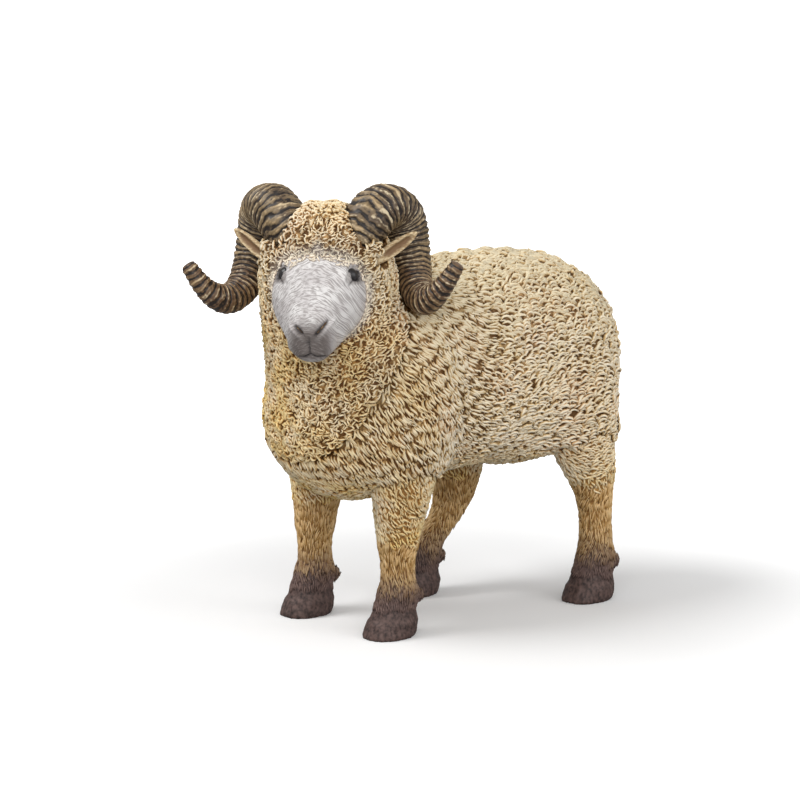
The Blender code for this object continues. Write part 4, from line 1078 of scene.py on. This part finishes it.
# How far the lids move a point, how dark they are painted there, and how grey the painted shade round the eye
# is
def eyelids(point, side):
    out, inner, rise = eyeAxes(side)
    gap = point - eyeCentre(side)
    if gap.length >= 5.5 * mm or gap.dot(out) <= -1 * mm:
        return Vector(), 0, 0
    a, b = gap.dot(inner) / eye["long"], gap.dot(rise) / eye["tall"]
    lid = math.sqrt(a * a + (b / (1 - 0.3 * min(a * a, 1) + 0.05)) ** 2)
    push = -0.9 * (1 - smooth(0.95, 0.3, lid))
    push += (0.26 if b > 0 else 0.08) * bell(lid, 1.3, 0.26)
    push -= 0.16 * bell(lid, 2.0, 0.4)
    push += 0.45 * bell(lid, 2.5, 0.6) * smooth(0.5, 1.2, b)
    tear = bell(b + 0.4 * max(a - 1, 0), -0.15, 0.16) * smooth(1.1, 0.4, a) * (1 - smooth(2.3, 0.5, a))
    push -= 0.2 * tear
    dark = max(0.95 * (1 - smooth(1.24, 0.4, lid)), 0.8 * tear)
    # grey here is painted shade round the eye socket, reaching further towards its outer corner
    grey = max(0.62 * (1 - smooth(1.9, 1.0, lid)), 0.4 * (1 - smooth(2.9, 1.8, lid)) * smooth(-0.2, 1.6, -a))
    return out * push * mm, dark, grey


# Where each nostril's slit starts and ends, sideways and up, in millimetres
nostril = {1: (Vector((1.1, -9.1)), Vector((3.2, -6.7))), -1: (Vector((1.4, -8.9)), Vector((2.9, -7.6)))}
lips = {"up": -13.25, "bow": 0.5, "groove": -0.15}


# A slit that rises outwards, and the pale fold under its outer half, from 0 to 1
def nostrilForms(x, z, side):
    start, end = nostril[side]
    line = end - start
    here = Vector((x, z))
    t = min(max((here - start).dot(line) / line.length_squared, 0), 1)
    offset = here - (start + line * t)
    beside = offset.dot(Vector((0.73, -0.68)))
    slit = math.exp(-(offset.length / (0.24 + 0.2 * math.sin(math.pi * t))) ** 2)
    return slit, bell(beside, 0.95, 0.42) * bell(offset.length, 0.95, 0.5) * (0.3 + 0.7 * t)


# Moves the plain form's points to make eyelids, nostrils and lips, and stores the paint and the hair's way
def sculptFace(obj):
    mesh = obj.data
    points = [v.co.copy() for v in mesh.vertices]
    normals = [v.normal.copy() for v in mesh.vertices]
    values = {"grey": [], "dark": [], "alongHair": [], "acrossHair": []}
    for index, (point, normal) in enumerate(zip(points, normals)):
        side = 1 if point.x > 0 else -1
        lidShift, dark, grey = eyelids(point, side)
        signed, x, f, z = point.x / mm, abs(point.x) / mm, -point.y / mm, point.z / mm
        front = smooth(9.5, 2.0, f)
        slit, fold = [value * front for value in nostrilForms(x, z, side)]
        lipLine = lips["up"] + lips["bow"] * bell(signed, -0.1, 0.9) + 0.05 * max(signed, 0)
        width = (1 - smooth(3.2, 0.9, signed)) * smooth(-2.6, 1.2, signed)
        mouth = bell(z, lipLine, 0.17) * width * smooth(10.0, 1.5, f)
        groove = bell(signed, lips["groove"], 0.17) * smooth(-12.5, 0.5, z) * (1 - smooth(-9.8, 1.0, z))
        groove *= smooth(11.5, 1.0, f)
        push = -0.7 * slit + 0.34 * fold - 0.42 * mouth - 0.25 * groove
        push += 0.16 * bell(z, lipLine + 0.7, 0.45) * bell(x, 1.3, 0.9) * front
        muzzle = (1 - smooth(-7.2, 3.6, z + 0.2 * x)) * smooth(10.2, 3.6, f) * (1 - smooth(4.2, 3.0, x))
        muzzle *= 1 - 0.45 * (1 - smooth(-13.6, 0.8, z))
        bridge = 0.5 * bell(z, -7.2, 1.5) * bell(x, 1.5, 1.0) * front
        moved = point + lidShift + normal * push * mm
        moved.x *= 1 - 0.08 * smooth(11, 3, f) - 0.12 * (1 - smooth(-12.6, 2.0, z)) * smooth(9, 3, f)
        mesh.vertices[index].co = moved
        # grey holds the muzzle's and nose's grey paint and the painted shade round the eyes
        values["grey"].append(max(grey, 0.95 * muzzle * (1 - 0.55 * fold), bridge * (1 - 0.5 * fold)))
        values["dark"].append(max(dark, 0.92 * slit, 0.9 * mouth, 0.6 * groove))
        # strokes are 1.1 mm long and 0.27 mm apart
        values["alongHair"].append((signed + 0.35 * z + 20) / 1.1)
        values["acrossHair"].append((z + 0.10 * x * x - 0.25 * f + 0.4 * wander(point, 2 * mm, 3)) / 0.27)
    for key, column in values.items():
        storeValues(mesh, key, column)
    mesh.update()


# Gloss paint, so that the eye has a small highlight
def eyePaint():
    paint, tree, shader, _ = startPaint("glossPaintedPvcEye", 0.32, 0.4)
    shader.inputs["Coat Weight"].default_value = 0.15
    shader.inputs["Coat Roughness"].default_value = 0.12
    shade = coat(tree, "#1A1718", "#2E2B2D", grain(tree, 0.8, 2.0), (0.4, 0.65))
    tree.links.new(shade, shader.inputs["Base Color"])
    return paint


def makeEyes():
    finish = eyePaint()
    for name, side in (("eyeLeft", 1), ("eyeRight", -1)):
        place = Matrix.Translation(eyeCentre(side) - eyeAxes(side)[0] * eye["sunk"])
        bm = bmesh.new()
        bmesh.ops.create_icosphere(bm, subdivisions=5, radius=eye["radius"], matrix=place)
        mesh = meshOf(bm, name)
        mesh.transform(headToWorld)
        mesh.materials.append(finish)
        obj = addObject(name, mesh)
        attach(obj, "root")


sculptFace(faceObject)
faceObject.data.transform(headToWorld)
faceObject.data.materials.append(facePaint())
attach(faceObject, "root")
makeEyes()
woolByFace = Grid(neckSeeds)


# Small pale locks where wool runs out over the face: down both sides of the forehead and round the cheeks
def faceEdgeRule(at, normal):
    inHead = worldToHead @ at
    x, z = abs(inHead.x) / mm, inHead.z / mm
    if toNearerEye(inHead) < 2.0 * mm or inHead.y > 3 * mm:
        return None
    brow = z - max(4.9 - 0.75 * x, 1.9) + 0.5 * wander(at, 1.5 * mm, 6)
    beside = min(((s["at"] - at).length for s in woolByFace.near(at)), default=1) / mm
    if brow < 0 and beside > 1.3 + 0.4 * wander(at, 1.2 * mm, 2):
        return None
    nearWool = 1 - smooth(1.2, 1.6, beside)
    chord = slanted(math.pi * 1.2 * wander(at, 2.5 * mm, 4), drop=down + normal.cross(backwards))
    kind = "curl" if wander(at, 1.8 * mm, 8) > -0.1 else "worm"
    return lockRule("faceEdge", normal, chord, 0.72 + 0.16 * nearWool, kind=kind,
                    height=(0.26 + 0.24 * nearWool) * mm, pale=0.95 - 0.3 * nearWool, warm=0)


edgeSeeds = scatterLocks(faceObject, faceEdgeRule, 14000, 71)
setLocks("faceEdgeLocks", edgeSeeds, wool, 72)
print("face done", len(edgeSeeds))
